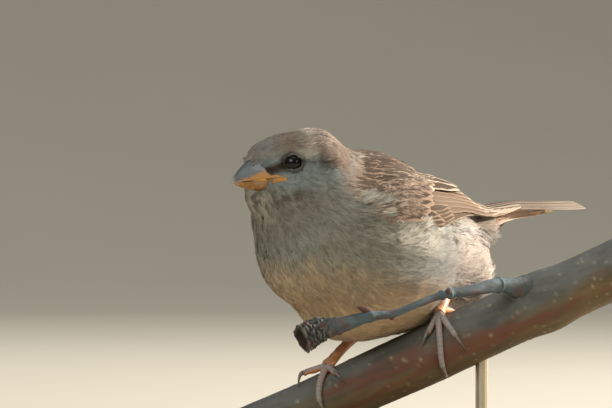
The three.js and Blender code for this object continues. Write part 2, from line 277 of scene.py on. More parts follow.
class Wire:
    """A socket in a material's tree. Arithmetic on it adds Math nodes, and node() adds any other node."""

    def __init__(self, tree, socket=None):
        self.tree, self.socket = tree, socket

    def node(self, kind, settings=None, inputs=None, out=0):
        """A node of a type, its settings first and then its sockets, as the wire of one output."""
        made = self.tree.nodes.new(kind)
        for key, value in (settings or {}).items():
            setattr(made, key, value)
        for key, value in (inputs or {}).items():
            if isinstance(value, Wire):
                self.tree.links.new(value.socket, made.inputs[key])
            else:
                made.inputs[key].default_value = value
        return Wire(self.tree, made.outputs[out])

    def other(self, out):
        """Another output of the node that this wire leaves."""
        return Wire(self.tree, self.socket.node.outputs[out])

    def _math(self, operation, *values):
        return self.node("ShaderNodeMath", {"operation": operation}, dict(enumerate(values)))

    def __add__(self, value):
        return self._math("ADD", self, value)

    def __sub__(self, value):
        return self._math("SUBTRACT", self, value)

    def __mul__(self, value):
        return self._math("MULTIPLY", self, value)

    __radd__ = __add__
    __rmul__ = __mul__

    def __abs__(self):
        return self._math("ABSOLUTE", self)

    def sine(self):
        return self._math("SINE", self)

    def step(self, low, high):
        """0 at low and 1 at high, with a soft step between."""
        return self.node("ShaderNodeMapRange", {"interpolation_type": "SMOOTHSTEP"},
                         {"Value": self, "From Min": low, "From Max": high})

    def mixed(self, one, other):
        """A colour between two, by this wire."""
        return self.node("ShaderNodeMix", {"data_type": "RGBA"}, {0: self, 6: one, 7: other}, 2)

    def shade(self, factor):
        """This colour, made lighter or darker by a number that changes over the surface."""
        grey = self.node("ShaderNodeCombineColor", None, {0: factor, 1: factor, 2: factor})
        return self.node("ShaderNodeMix", {"data_type": "RGBA", "blend_type": "MULTIPLY"},
                         {0: 1.0, 6: self, 7: grey}, 2)

    def noise(self, scale, detail=3.0, roughness=0.55, stretch=(1, 1, 1), turn=(0, 0, 0)):
        """Noise in 0..1 over the object, in features per metre, stretched along its axes."""
        place = self.node("ShaderNodeTexCoord", None, None, 3)
        place = self.node("ShaderNodeMapping", None, {"Vector": place, "Rotation": turn, "Scale": stretch})
        return self.node("ShaderNodeTexNoise", None,
                         {"Vector": place, "Scale": scale, "Detail": detail, "Roughness": roughness})

    def attribute(self, name, out=0):
        """A value stored with the mesh's points: a colour at output 0, a vector at output 1."""
        return self.node("ShaderNodeAttribute", {"attribute_name": name}, None, out)


def finish(name, wires, constants):
    """A material: wires(start) gives its changing sockets, constants its fixed ones. Height is a bump."""
    material = bpy.data.materials.new(name)
    material.use_nodes = True
    tree = material.node_tree
    shader = tree.nodes["Principled BSDF"]
    for key, value in constants.items():
        shader.inputs[key].default_value = value
    start = Wire(tree)
    for key, value in wires(start).items():
        if key == "Height":
            amount, distance, height = value
            value = start.node("ShaderNodeBump", None,
                               {"Strength": amount, "Distance": distance, "Height": height})
            key = "Normal"
        tree.links.new(value.socket, shader.inputs[key])
    return material


def plumage(name, roughness=0.75, sheen=0.0):
    """Firm vanes, with an edge colour, a core colour, fine barbs and a shaft."""

    def wires(at):
        tint, core = at.attribute("tint"), at.attribute("core")
        lay = at.node("ShaderNodeSeparateXYZ", None, {0: at.attribute("lay", 1)})
        along, across, edge = lay, abs(lay.other(1)), lay.other(2)
        ragged = at.noise(900.0, 2.0) * 0.22 - 0.11
        border = (across + ragged + along.step(0.72, 1.0) * 0.55 - edge).step(-0.06, 0.16)
        barbs = ((along * 46.0 - across * 13.0) * 6.2832).sine()
        shaft = across.step(0.02, 0.07)
        colour = border.mixed(core, tint).shade(0.93 + barbs * 0.05 + at.noise(260.0) * 0.1)
        return {"Base Color": colour.shade(0.84 + shaft * 0.16), "Height": (0.35, 0.0001, barbs)}

    return finish(name, wires, {"Roughness": roughness, "Sheen Weight": sheen, "Specular IOR Level": 0.1})


def loose_plumage(name):
    """The thin blades of loose feathers: soft and mottled, with the core colour down some shafts."""

    def wires(at):
        lay = at.node("ShaderNodeSeparateXYZ", None, {0: at.attribute("lay", 1)})
        streak = (lay.other(2) - abs(lay.other(1))).step(-0.12, 0.12)
        colour = streak.mixed(at.attribute("tint"), at.attribute("core"))
        return {"Base Color": colour.shade(0.88 + at.noise(520.0, 3.0) * 0.24),
                "Roughness": 0.8 + at.noise(300.0) * 0.2}

    return finish(name, wires, {"Sheen Weight": 0.12, "Sheen Roughness": 0.6, "Specular IOR Level": 0.1})


def bare_skin(name, bump, roughness, grain, coat):
    """Bare parts: the tint, mottled, with a fine grain."""

    def wires(at):
        rough = at.noise(grain, 4.0, 0.6)
        colour = at.attribute("tint").shade(0.8 + at.noise(grain * 0.3, 3.0) * 0.4)
        return {"Base Color": colour, "Height": (bump, 0.0003, rough),
                "Roughness": roughness - 0.1 + rough * 0.2}

    return finish(name, wires, {"Coat Weight": coat, "Coat Roughness": 0.12, "Specular IOR Level": 0.45})


# ---------- sizes and colours a user may change ----------


def linear(code):
    """A hex colour as linear red, green and blue."""
    channels = [int(code[i:i + 2], 16) / 255 for i in (0, 2, 4)]
    return tuple(c / 12.92 if c <= 0.04045 else ((c + 0.055) / 1.055) ** 2.4 for c in channels)


def colour_of(label, code, told):
    """A colour that a user may change."""
    return bpy.props.FloatVectorProperty(
        name=label, description=told, subtype="COLOR", size=3, min=0, max=1, default=linear(code))


def length_of(label, millimetres, told):
    """A length that a user may change."""
    return bpy.props.FloatProperty(
        name=label, description=told, subtype="DISTANCE", unit="LENGTH", default=millimetres * MM)


class SPARROW_PG_plumage(bpy.types.PropertyGroup):
    """Colours of the plumage, and how the coat is laid"""

    crown: colour_of("Crown", "97836f", "Crown")
    forehead: colour_of("Forehead", "94928a", "Grey forehead")
    crown_streak: colour_of("Crown streaks", "54463a", "Dark shafts on the crown")
    nape: colour_of("Nape", "827163", "Back of the neck")
    brow: colour_of("Brow", "bdb29e", "Pale stripe over and behind the eye")
    eyeline: colour_of("Eye line", "382b20", "Dark lore and stripe behind the eye")
    cheek: colour_of("Cheek", "8a938f", "Ear coverts and cheek")
    throat: colour_of("Throat", "828073", "Chin and throat")
    mottle: colour_of("Throat mottling", "5a5346", "Dusky marks on the throat")
    breast: colour_of("Breast", "868476", "Breast and neck front")
    belly: colour_of("Belly", "c2a783", "Belly")
    flank: colour_of("Flank", "979690", "Flanks")
    vent: colour_of("Vent", "b9ab9e", "Rear flank and undertail")
    mantle: colour_of("Mantle edges", "96816b", "Edges of the back feathers")
    streak: colour_of("Mantle streaks", "44372c", "Dark centres of the back feathers")
    brace: colour_of("Mantle lines", "c7b5a0", "Pale lines down the back")
    rump: colour_of("Rump", "8d7c6b", "Rump and uppertail")
    wing_edge: colour_of("Wing edges", "9b846e", "Buff edges of the wing feathers")
    wing_core: colour_of("Wing centres", "4f4236", "Dark centres of the wing feathers")
    bar: colour_of("Wing bar", "efe6d4", "White tips of the median coverts")
    tail_edge: colour_of("Tail edges", "97897a", "Pale edges of the tail feathers")
    tail_core: colour_of("Tail centres", "5d4e41", "Middle of the tail feathers")
    body_depth: length_of("Body coat", 1.5, "Depth of the coat on the body")
    head_depth: length_of("Head coat", 0.9, "Depth of the coat on the head")
    grain: length_of("Skin grain", 0.7, "Cell size that the skin is made with")
    seed: bpy.props.IntProperty(name="Seed", description="Seed of the scatter", default=7, min=0)


class SPARROW_PG_bare(bpy.types.PropertyGroup):
    """Colours of the bill, eyes and feet"""

    horn: colour_of("Upper bill", "636b6f", "Grey horn of the upper bill")
    horn_dark: colour_of("Culmen", "4d4f50", "Ridge and tip of the upper bill")
    yellow: colour_of("Cutting edge", "b57d38", "Yellow-orange of the lower bill and cutting edge")
    pale_tip: colour_of("Lower bill tip", "b9b2a0", "Greyish tip of the lower bill")
    lower: colour_of("Lower bill sides", "865e29", "Ochre brown of the lower bill")
    gape: colour_of("Gape", "c08a34", "Soft yellow corner of the mouth")
    iris: colour_of("Iris", "120b07", "Dark brown iris")
    lid: colour_of("Eyelid", "3c342c", "Thin bare rim of the eye")
    leg: colour_of("Leg", "c4824e", "Tarsus")
    # Toe tops: partly the scales' own grey, partly a painted highlight from above
    toe: colour_of("Toe tops", "8e9292", "Scales on top of the toes")
    claw: colour_of("Claw", "6f665e", "Claws")


class SPARROW_PG_perch(bpy.types.PropertyGroup):
    """Colours of the branch, twig and stand"""

    bark: colour_of("Bark", "5e605a", "Blue-grey of the young bark, on top")
    bark_low: colour_of("Lower bark", "635134", "Ochre brown of the bark below")
    bark_red: colour_of("Red bark", "6e382c", "Reddish brown patches on the shaded side")
    bark_dark: colour_of("Dark bark", "45423a", "Scars and cracks")
    pore: colour_of("Pores", "a49a7c", "Pale raised pores")
    twig: colour_of("Twig", "4f5c60", "Blue-grey of the dry twig")
    wood: colour_of("Cut wood", "8c7454", "Sawn faces")
    stand: colour_of("Stand wood", "3b2a20", "Stained hardwood base")
    relief: length_of("Bark relief", 0.2, "Height of the bark's bumps")


class SPARROW_PG_stage(bpy.types.PropertyGroup):
    """The floor and what the camera sees"""

    floor: colour_of("Floor", "b9b4a6", "Plain pale floor")
    distance: bpy.props.FloatProperty(
        name="Camera distance", description="From the lens to the branch", subtype="DISTANCE",
        unit="LENGTH", default=1.6)
    width: length_of("View width", 165.4, "Width of what the camera sees at the branch")


def tone(name):
    """A colour from the settings; no two groups share a name."""
    key = next(key for key, group in SETTINGS.items() if name in group.__annotations__)
    return np.array(getattr(getattr(bpy.context.scene, key), name)[:])


# ---------- plumage markings ----------


def markings(points):
    """Edge and core colour of the plumage at points, in millimetres in the row frame."""
    points = np.asarray(points, float)
    (bx, by, bz), (hx, hy, hz) = into(BODY, points).T, into(HEAD, points).T
    side = abs(hy)
    blotch, fine = waves(points, 9, 3), waves(points, 2.4, 4)
    tint = np.tile(tone("flank"), (len(points), 1))

    def paint(name, mask):
        nonlocal tint
        tint = blend(tint, tone(name), mask)

    # underside
    paint("breast", smooth(-6, 16, bx + 0.35 * bz + 3 * blotch))
    paint("belly", smooth(-3, -19, bz + 3 * blotch) * smooth(-22, -8, bx))
    paint("vent", smooth(-9, -24, bx + 2 * blotch) * smooth(13, 4, bz) * 0.9)
    # partly the rump side's own brown, partly painted to warm the shadow that the wing tip casts there
    paint("wing_edge", smooth(9, 10.4, bz) * smooth(14.5, 13, bz) * smooth(-19, -26, bx) * 0.6)
    # back
    upper = smooth(10.5, 14.5, bz + 0.12 * bx - 0.02 * by**2 * smooth(8, 20, bx) + blotch)
    paint("rump", upper * smooth(-6, -16, bx))
    paint("mantle", upper * smooth(-14, -6, bx))
    pale_line = smooth(1.6, 0.7, abs(abs(by) - 6.5 + 0.5 * fine))
    paint("brace", upper * pale_line * smooth(-12, -6, bx) * smooth(17, 11, bx) * 0.75)
    paint("brace", upper * smooth(3.2, 1.6, abs(by - 1)) * smooth(-14, -8, bx) * 0.45)
    # shoulder and wing bar
    x, share, shoulder = wing_share(points)
    paint("wing_edge", shoulder)
    paint("brace", shoulder * smooth(0.5, 0.7, share) * 0.45)
    paint("bar", shoulder * hump((x - 9.4) / 2.3, (share - 0.36) / 0.1) * 1.1)
    # cheek and throat
    on_head = smooth(20, 27, head_reach(bx, bz) - 1.5 * smooth(8, 16, bz))
    paint("cheek", on_head)
    paint("breast", on_head * smooth(2, -10, hx + 0.3 * hz) * smooth(1, -6, hz) * 0.6)
    paint("throat", on_head * smooth(-4.5, -8.5, hz - 0.1 * hx + 0.8 * blotch))
    chin = smooth(-6, -8.5, hz) * smooth(-17, -13, hz)
    paint("brow", on_head * chin * smooth(5.5, 8.5, hx - 0.4 * hy) * 0.45)
    bib = smooth(-4.5, -7, hz) * smooth(-15, -10, hz)
    paint("mottle", on_head * bib * smooth(-0.1, 0.45, fine + 0.3 * blotch) * smooth(-5, 3, hx) * 0.8)
    # nape and crown
    behind = smooth(-4.5, -8.5, hx + 3.5 * smooth(0.5, -2.5, hz))
    paint("nape", on_head * behind * smooth(-10, -5, hz + 0.8 * blotch + 6 * smooth(-8, -13, hx)))
    crown = on_head * smooth(2.9, 5.4, hz + 0.06 * hx + 0.3 * fine)
    paint("nape", crown * smooth(3, -6, hx))
    # painted light: the back of the crown is painted pale, in the mantle-line and wing-bar tones, for sun
    # catching it
    paint("brace", crown * smooth(4, -4, hx + fine) * smooth(-19, -11, hx) * 0.9)
    paint("bar", crown * smooth(1, -5, hx + fine) * smooth(-17, -10, hx) * 0.6)
    paint("crown", crown * smooth(-3, 4, hx + fine))
    paint("forehead", crown * smooth(3, 9, hx + fine))
    paint("nape", on_head * smooth(1.2, 2.6, hz + 0.5 * fine) * smooth(-1.8, -4.5, hx) * 0.85)
    # brow, lore, eye line, patch behind the eye and ring round it
    brow = smooth(2.1, 0.6, abs(hz - 3.2 - 0.06 * (3 - hx))) * smooth(3.6, 0.8, hx)
    paint("brow", on_head * brow * smooth(-4.6, -2, hx) * smooth(4, 6, side) * 0.65)
    lore = smooth(2.1, 0.6, abs(hz - 0.75 + 0.3 * (hx - 4))) * smooth(4.4, 5.6, hx) * smooth(11.5, 9.5, hx)
    line = smooth(0.85, 0.25, abs(hz - 1.15 - 0.06 * hx + 0.2 * fine)) * smooth(1.6, 0.6, hx)
    line = line * smooth(-10.5, -7.5, hx)
    patch = smooth(2.3, 0.8, abs(hz - 0.4 + 0.8 * fine)) * smooth(-2.2, -4.6, hx) * smooth(-9.8, -7.4, hx)
    for mask in (lore * 0.95 + line * 0.5, patch * 0.62):
        paint("eyeline", on_head * smooth(3, 4.4, side) * mask)
    ahead, above, _ = by_eye(mirrored(into(HEAD, points)), 1)
    paint("eyeline", on_head * smooth(1.45, 1.05, np.hypot((ahead - 0.3) / 2.8, above / 2.3)) * 0.5)
    # dark centres
    core = blend(tint * 0.92, tone("crown_streak"), on_head * smooth(3.4, 5, hz) * 0.7)
    back = upper * (1 - on_head) * smooth(-15, -8, bx)
    rows = back * smooth(-0.1, 0.8, np.cos(by * 1.75 + 1.6 * blotch)) * smooth(-0.6, 0.1, waves(points, 5, 5))
    tint = blend(tint, tone("streak") * 1.5, rows * 0.38)
    core = blend(core, tone("streak"), back * 0.8)
    core = blend(core, tone("wing_core") * 1.5, shoulder * 0.8)
    light = (1 + 0.06 * blotch + 0.05 * fine + 0.16 * back * waves(points, 5, 6))[:, None]
    return tint * light, core * light


def flow(points):
    """The way the feathers lie: away from the bill on the head, and back to the tail on the body."""
    body, head = into(BODY, points), into(HEAD, points)
    from_bill = unit(turned(HEAD, head - np.array(BILL_ROOT)))
    to_tail = unit(turned(BODY, np.array([-62.0, 0, 13]) - body))
    down = turned(BODY, np.array([-0.35, 0, -1.0]))
    front = smooth(2, 24, body[:, 0]) * smooth(12, 0, body[:, 2])
    trunk = unit(to_tail + down * (front * 0.9)[:, None])
    on_head = smooth(14, 30, head_reach(body[:, 0], body[:, 2]))[:, None]
    return unit(from_bill * on_head + trunk * (1 - on_head))


def mirrored(local_points):
    """Points of the right side laid on the left."""
    return local_points * np.where(local_points[:, 1:2] < 0, [1, -1, 1], 1)


def past_bill_line(head_points):
    """How far points of the head lie in front of the edge of the feathers at the bill."""
    heights = (-8.2, -7.4, -6.8, -6.3, -5.6, -4.4, -3.2, -2.4, -1.7, 0.7, 2.5, 4.5)
    edges = (20, 18, 16, 13, 11.0, 10.4, 10.0, 9.8, 10.2, 11.3, 13.2, 15.5)
    return head_points[:, 0] - np.interp(head_points[:, 2], heights, edges)


def from_eye(head_points):
    """How far points of the head lie from the middle of the nearer eye's surface."""
    return np.linalg.norm(mirrored(head_points) - np.array(EYE_FRONT), axis=1)


def coat_depth(points):
    """How far the skin lies inside the solids, in millimetres."""
    settings = bpy.context.scene.sparrow_plumage
    body, head = into(BODY, points), into(HEAD, points)
    on_head = smooth(17, 28, head_reach(body[:, 0], body[:, 2]))
    depth = settings.body_depth / MM + (settings.head_depth / MM - settings.body_depth / MM) * on_head
    depth *= 1 - 0.5 * smooth(-26, -34, body[:, 0])
    near_bill = np.linalg.norm((head - np.array([9.0, 0, -2.0])) * [0.8, 1, 1], axis=1)
    depth *= 0.4 + 0.6 * smooth(5.5, 9, near_bill)
    return depth * (0.5 + 0.5 * smooth(2, 5, from_eye(head)))


# ---------- skin ----------

FLESH = ("head", "neck", "trunk", "thigh_left", "thigh_right", "wing_left_coverts", "wing_right_coverts")


def vertex_normals(points, faces):
    """The outward direction at each point, by the area of the triangles round it."""
    a, b, c = (points[faces[:, i]] for i in range(3))
    cross = np.cross(b - a, c - a)
    normals = np.zeros_like(points)
    for i in range(3):
        np.add.at(normals, faces[:, i], cross)
    return unit(normals)


def swollen(name, by):
    """A node's points in millimetres, moved outwards by an amount, and its triangles."""
    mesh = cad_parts[name].data
    mesh.calc_loop_triangles()
    points = np.empty(len(mesh.vertices) * 3, np.float32)
    faces = np.empty(len(mesh.loop_triangles) * 3, np.int32)
    mesh.vertices.foreach_get("co", points)
    mesh.loop_triangles.foreach_get("vertices", faces)
    points = points.reshape(-1, 3).astype(float) / MM
    _, first, back = np.unique(np.round(points, 3), axis=0, return_index=True, return_inverse=True)
    points, faces = points[first], back.reshape(-1)[faces].reshape(-1, 3)
    a, b, c = faces.T
    faces = faces[(a != b) & (b != c) & (a != c)]
    return points + vertex_normals(points, faces) * by, faces


def in_one_skin(points, faces, cell):
    """The closed shapes merged into one skin of even quads."""
    mesh = bpy.data.meshes.new("draft")
    mesh.from_pydata(points.tolist(), [], faces.tolist())
    draft = bpy.data.objects.new("draft", mesh)
    bpy.context.scene.collection.objects.link(draft)
    union = draft.modifiers.new("union", "REMESH")
    union.mode, union.voxel_size = "VOXEL", cell
    made = draft.evaluated_get(bpy.context.evaluated_depsgraph_get()).to_mesh()
    points = np.empty(len(made.vertices) * 3, np.float32)
    quads = np.empty(len(made.polygons) * 4, np.int32)
    made.vertices.foreach_get("co", points)
    made.loops.foreach_get("vertex_index", quads)
    bpy.data.objects.remove(draft)
    bpy.data.meshes.remove(mesh)
    return points.reshape(-1, 3).astype(float), quads.reshape(-1, 4)


def outermost(points, quads):
    """The largest connected shell."""
    label = np.arange(len(points))
    pairs = np.concatenate([quads[:, [0, 1]], quads[:, [1, 2]], quads[:, [2, 3]]])
    while True:
        low = np.minimum(label[pairs[:, 0]], label[pairs[:, 1]])
        changed = label.copy()
        np.minimum.at(changed, pairs[:, 0], low)
        np.minimum.at(changed, pairs[:, 1], low)
        changed = changed[changed]
        if (changed == label).all():
            break
        label = changed
    kept = label == np.bincount(label).argmax()
    number = np.cumsum(kept) - 1
    return points[kept], number[quads[kept[quads[:, 0]]]]


def relaxed(points, quads, rounds, pull=0.5, push=-0.52):
    """The points eased towards their neighbours, with almost no loss of volume."""
    pairs = np.concatenate([quads[:, [i, (i + 1) % 4]] for i in range(4)])
    degree = np.bincount(pairs[:, 0], minlength=len(points))[:, None]
    for i in range(rounds * 2):
        total = np.zeros_like(points)
        np.add.at(total, pairs[:, 0], points[pairs[:, 1]])
        points = points + (total / degree - points) * (pull if i % 2 == 0 else push)
    return points


def eased(points, quads, mask, rounds):
    """The points drawn into the mean of their neighbours where the mask says, which fills a crease."""
    near = np.flatnonzero((mask[quads] > 0.001).any(1))
    pairs = np.concatenate([quads[near][:, [i, (i + 1) % 4]] for i in range(4)])
    pairs = np.concatenate([pairs, pairs[:, ::-1]])
    pairs = pairs[mask[pairs[:, 0]] > 0.001]
    degree = np.maximum(np.bincount(pairs[:, 0], minlength=len(points)), 1)
    for _ in range(rounds):
        total = np.stack([np.bincount(pairs[:, 0], points[pairs[:, 1], k], len(points)) for k in range(3)], 1)
        points = points + (total / degree[:, None] - points) * mask[:, None] * 0.8
    return points


def fuller(points):
    """How much further out than the solids the coat is fluffed, or drawn in where it is below 0."""
    (bx, by, bz), (hx, _, hz) = into(BODY, points).T, into(HEAD, points).T
    forehead = (hump((hx - 11.3) / 2.8) + 0.6 * hump((hx - 6.5) / 3)) * smooth(1.5, 4, hz)
    breast = hump((bx - 25) / 9, (bz - 1) / 9) * smooth(6, 0, by)
    rump = hump((bx + 20) / 9, (bz - 20) / 6)
    low_breast, rear_belly = hump((bx - 20) / 8, (bz + 20) / 5.5), hump((bx + 8) / 9, (bz + 24) / 4)
    return 1.1 * forehead + 1.8 * breast + 0.9 * rump - 3.0 * low_breast - 1.3 * rear_belly


def eye_frame(side):
    """An eye in the head frame: its middle, its axis outwards, and the directions ahead and above."""
    axis = unit(np.array([0.175, side * 0.975, 0.139]))
    ahead = unit(np.array([1.0, 0, 0.1]) - axis * axis[0])
    return np.array([EYE_AT[0], side * EYE_AT[1], EYE_AT[2]]), axis, ahead, np.cross(axis, ahead)


def by_eye(head_points, side):
    """Where points of the head lie by an eye: ahead of its middle, above it, and out along its axis."""
    middle, axis, _, _ = eye_frame(side)
    away = head_points - middle
    out = away @ axis
    flat = away - out[:, None] * axis
    return flat[:, 0], flat[:, 2], out


def eye_rim(side, radius, rise):
    """A closed rim round an eye, in the head frame, drawn out a little to the front and back."""
    middle, axis, ahead, above = eye_frame(side)
    turn = around(40)
    out = radius * (1 + 0.1 * np.cos(turn) ** 2 + 0.06 * np.maximum(-np.cos(turn), 0) ** 6)
    across, up = (np.cos(turn) * out)[:, None], (np.sin(turn) * out * 0.78)[:, None]
    return middle + axis * rise + ahead * across + above * -side * up


LID_PROFILE = ((2.05, 1.5), (2.14, 2.0), (2.2, 2.16), (2.3, 2.2), (2.4, 2.1), (2.5, 1.8), (2.75, 1.3),
               (2.6, 1.0), (2.2, 1.1))
LID_BARE = 4


def eyelid(side):
    """A soft double rim: a thin bare edge, and a fold of skin that runs out under the feathers."""
    rings = np.stack([eye_rim(side, radius, rise) for radius, rise in LID_PROFILE], 1)
    middle = eye_frame(side)[0]
    rings = middle + unit(rings - middle) * np.hypot(*np.array(LID_PROFILE).T)[None, :, None]
    points = out_of(HEAD, rings.reshape(-1, 3))
    faces = triangles(grid_faces(len(rings) + 1, len(LID_PROFILE), True) % len(points))
    return points, facing_out(points, faces)


def make_skin():
    """Make the skin over the flesh and its eyelids, sunk by the depth of the coat."""
    shapes = [swollen(name, FLESH_SWELL) for name in FLESH]
    shapes += [swollen(f"eye_{side}", EYE_SWELL) for side in ("left", "right")]
    shapes += [swollen(f"bill_{half}", BILL_SWELL) for half in ("upper", "lower")]
    points, quads = in_one_skin(*joined(shapes), bpy.context.scene.sparrow_plumage.grain / MM)
    points, quads = outermost(points, quads)
    points = relaxed(points, quads, EVEN_ROUNDS)
    faces = triangles(quads)
    head = into(HEAD, points)
    under_bill = smooth(-0.6, 0.7, past_bill_line(head))
    under_bill = under_bill * smooth(15, 12.5, head[:, 0]) * smooth(4, 5, head[:, 0])
    inset = (coat_depth(points) - fuller(points)) * (1 - under_bill) + 1.9 * under_bill
    for side in (1, -1):
        ahead, above, out = by_eye(head, side)
        inset = inset + 1.1 * (out > 0) * smooth(1.5, 1.15, np.hypot(ahead / 2.9, above / 2.0))
    points = points - vertex_normals(points, faces) * inset[:, None]
    points = relaxed(points, quads, LAST_ROUNDS)
    x, _, z = into(BODY, points).T
    reach = head_reach(x, z)
    back_of_neck = smooth(14, 19, reach) * smooth(36, 31, reach) * smooth(4, 12, z)
    points = eased(points, quads, back_of_neck, NECK_ROUNDS)
    points = points + vertex_normals(points, faces) * (1.5 * hump((x - 11) / 9, (z - 25) / 5))[:, None]
    lid_points, lid_faces = joined([eyelid(1), eyelid(-1)])
    everything, all_faces = joined([(points, faces), (lid_points, lid_faces)])
    tint = markings(everything)[0]
    bare = np.tile(np.arange(len(LID_PROFILE)) < LID_BARE, len(lid_points) // len(LID_PROFILE))
    tint[len(points):] *= 0.6
    tint[len(points):][bare] = tone("lid")
    skin = mesh_piece("skin", everything, all_faces, skin_material(), "plumage_body", tint)
    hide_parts(*FLESH)
    unwrap(skin)


def unwrap(piece):
    """The unwrap of the skin's own shape, which the coat's roots share."""
    piece.data.uv_layers.new(name="OFBake")
    bpy.context.view_layer.objects.active = piece
    piece.select_set(True)
    bpy.ops.object.mode_set(mode="EDIT")
    bpy.ops.mesh.select_all(action="SELECT")
    bpy.ops.uv.smart_project(angle_limit=math.radians(66), island_margin=0.004)
    bpy.ops.object.mode_set(mode="OBJECT")
    piece.select_set(False)


def skin_material():
    """Down, where it shows between the feathers."""

    def wires(at):
        down = at.noise(1400.0, 4.0, 0.65, stretch=(1, 1, 0.5))
        colour = at.attribute("tint").shade(0.75 + down * 0.4)
        return {"Base Color": colour, "Height": (0.6, 0.0004, down)}

    return finish("skin_and_down", wires, {"Roughness": 0.85, "Specular IOR Level": 0.2})


# ---------- coat ----------


def scatter(points, faces, gaps, seed):
    """Roots spread over triangles, no two nearer than the gap there: each one's face, weights and place."""
    rng = np.random.default_rng(seed)
    a, b, c = (points[faces[:, i]] for i in range(3))
    wanted = np.linalg.norm(np.cross(b - a, c - a), axis=1) / 2 / gaps**2
    count = int(wanted.sum() * TRIES)
    pick = rng.choice(len(faces), count, p=wanted / wanted.sum())
    one, two = np.sqrt(rng.random(count)), rng.random(count)
    weights = np.stack([1 - one, one * (1 - two), one * two], 1)
    places = np.einsum("ij,ijk->ik", weights, points[faces[pick]])
    level = np.round(np.log(gaps[pick]) / math.log(GAP_STEP))
    size = GAP_STEP**level
    cells = np.floor(places / size[:, None]).astype(int)
    taken, kept = {}, []
    near = [(i, j, k) for i in (-1, 0, 1) for j in (-1, 0, 1) for k in (-1, 0, 1)]
    rows = zip(places.tolist(), cells.tolist(), level.tolist(), size.tolist())
    for i, (place, (x, y, z), rank, gap) in enumerate(rows):
        cells_by = (taken.get((rank, x + dx, y + dy, z + dz), ()) for dx, dy, dz in near)
        if all(math.dist(place, other) >= gap for others in cells_by for other in others):
            taken.setdefault((rank, x, y, z), []).append(place)
            kept.append(i)
    return pick[kept], weights[kept], places[kept]


def facing_up(points, faces):
    """Triangles of a flat shape, each turned so that it faces away from the skin."""
    a, b, c = (points[faces[:, i], :2] for i in range(3))
    under = (b[:, 0] - a[:, 0]) * (c[:, 1] - a[:, 1]) - (b[:, 1] - a[:, 1]) * (c[:, 0] - a[:, 0]) < 0
    faces = faces.copy()
    faces[under] = faces[under][:, ::-1]
    return faces


def plume(rng, barbs, fray, fine=0.018):
    """One loose feather as thin blades on three shafts: (along, across, lift), triangles, lay and grain."""
    points, faces, lay, grain = [], [], [], []

    def blade(start, middle, end, thick):
        heading = np.array(end[:2]) - np.array(start[:2])
        size = max(np.hypot(heading[0] * 0.3, heading[1]), 1e-6)
        normal = np.array([-heading[1], heading[0] * 0.3]) / size
        base = len(points)
        tilt = rng.uniform(-0.008, 0.008)
        for (along, across, lift), share in ((start, 0.8), (middle, 1.0)):
            for way in (-1, 1):
                points.append((along + normal[0] * thick * share * way,
                               across + normal[1] * thick * share * way * 3.4, lift + way * tilt))
                lay.append((along, abs(across), 0))
        points.append(end)
        lay.append((end[0], abs(end[1]), 0))
        grain.extend([rng.uniform(-1, 1)] * 5)
        faces.extend([(base, base + 1, base + 3), (base, base + 3, base + 2), (base + 2, base + 3, base + 4)])

    for k in range(3):
        end = (1.02 - rng.uniform(0, 0.12), 0.16 * (k - 1) + rng.uniform(-0.05, 0.05), 0)
        blade((0.02 * k, 0, 0), (0.5, 0.04 * (k - 1), 0.03), end, fine)
    for side in (-1, 1):
        for k in range(barbs):
            start = 0.02 + 0.66 * ((k + rng.uniform(0, 0.8)) / barbs) ** 0.9
            reach = min(start + 0.46 + rng.uniform(-0.08, 0.1), 0.98 + rng.uniform(-fray, fray * 0.5))
            taper = math.sqrt(max(1 - (max(reach - 0.55, 0) / 0.5) ** 2, 0.05))
            outline = (min(reach / 0.5, 1) ** 0.8) * taper
            outer = side * outline * rng.uniform(0.75, 1.08)
            lift = rng.uniform(-0.1, 0.2) * fray
            middle = (start + (reach - start) * 0.5, outer * rng.uniform(0.5, 0.68), lift * 0.35)
            blade((start, side * 0.02, 0), middle, (reach, outer, lift), fine * rng.uniform(0.8, 1.25))
    points = np.array(points)
    return points, facing_up(points, np.array(faces)), np.array(lay), np.array(grain)


class Ground:
    """The skin as something to lay feathers on."""

    def __init__(self, points, faces):
        self.tree = BVHTree.FromPolygons(points.tolist(), faces.tolist())
        self.normals = unit(vertex_normals(points, faces)[faces].mean(1))

    def nearest(self, places):
        """The nearest point of the ground to each place, and the outward direction there."""
        found = [self.tree.find_nearest(place) for place in places.tolist()]
        return np.array([hit[0] for hit in found]), self.normals[[hit[2] for hit in found]]


def lie(ground, roots, lengths, depth, turns):
    """Root, middle and tip of each feather, laid along the flow over the ground, and the way out at each."""
    places, normals = ground.nearest(roots)
    spots, outs = [places], [normals]
    for _ in range(2):
        way = flow(places)
        way = unit(way - normals * np.einsum("ij,ij->i", way, normals)[:, None])
        side = np.cross(normals, way)
        way = way * np.cos(turns)[:, None] + side * np.sin(turns)[:, None]
        places, normals = ground.nearest(places + way * (lengths / 2)[:, None])
        spots.append(places)
        outs.append(normals)
    outs[1], outs[2] = unit(outs[0] + outs[1] * 2 + outs[2]), unit(outs[1] + outs[2] * 2)
    return spots[0], spots[1] + outs[1] * depth[0][:, None], spots[2] + outs[2] * depth[1][:, None], outs


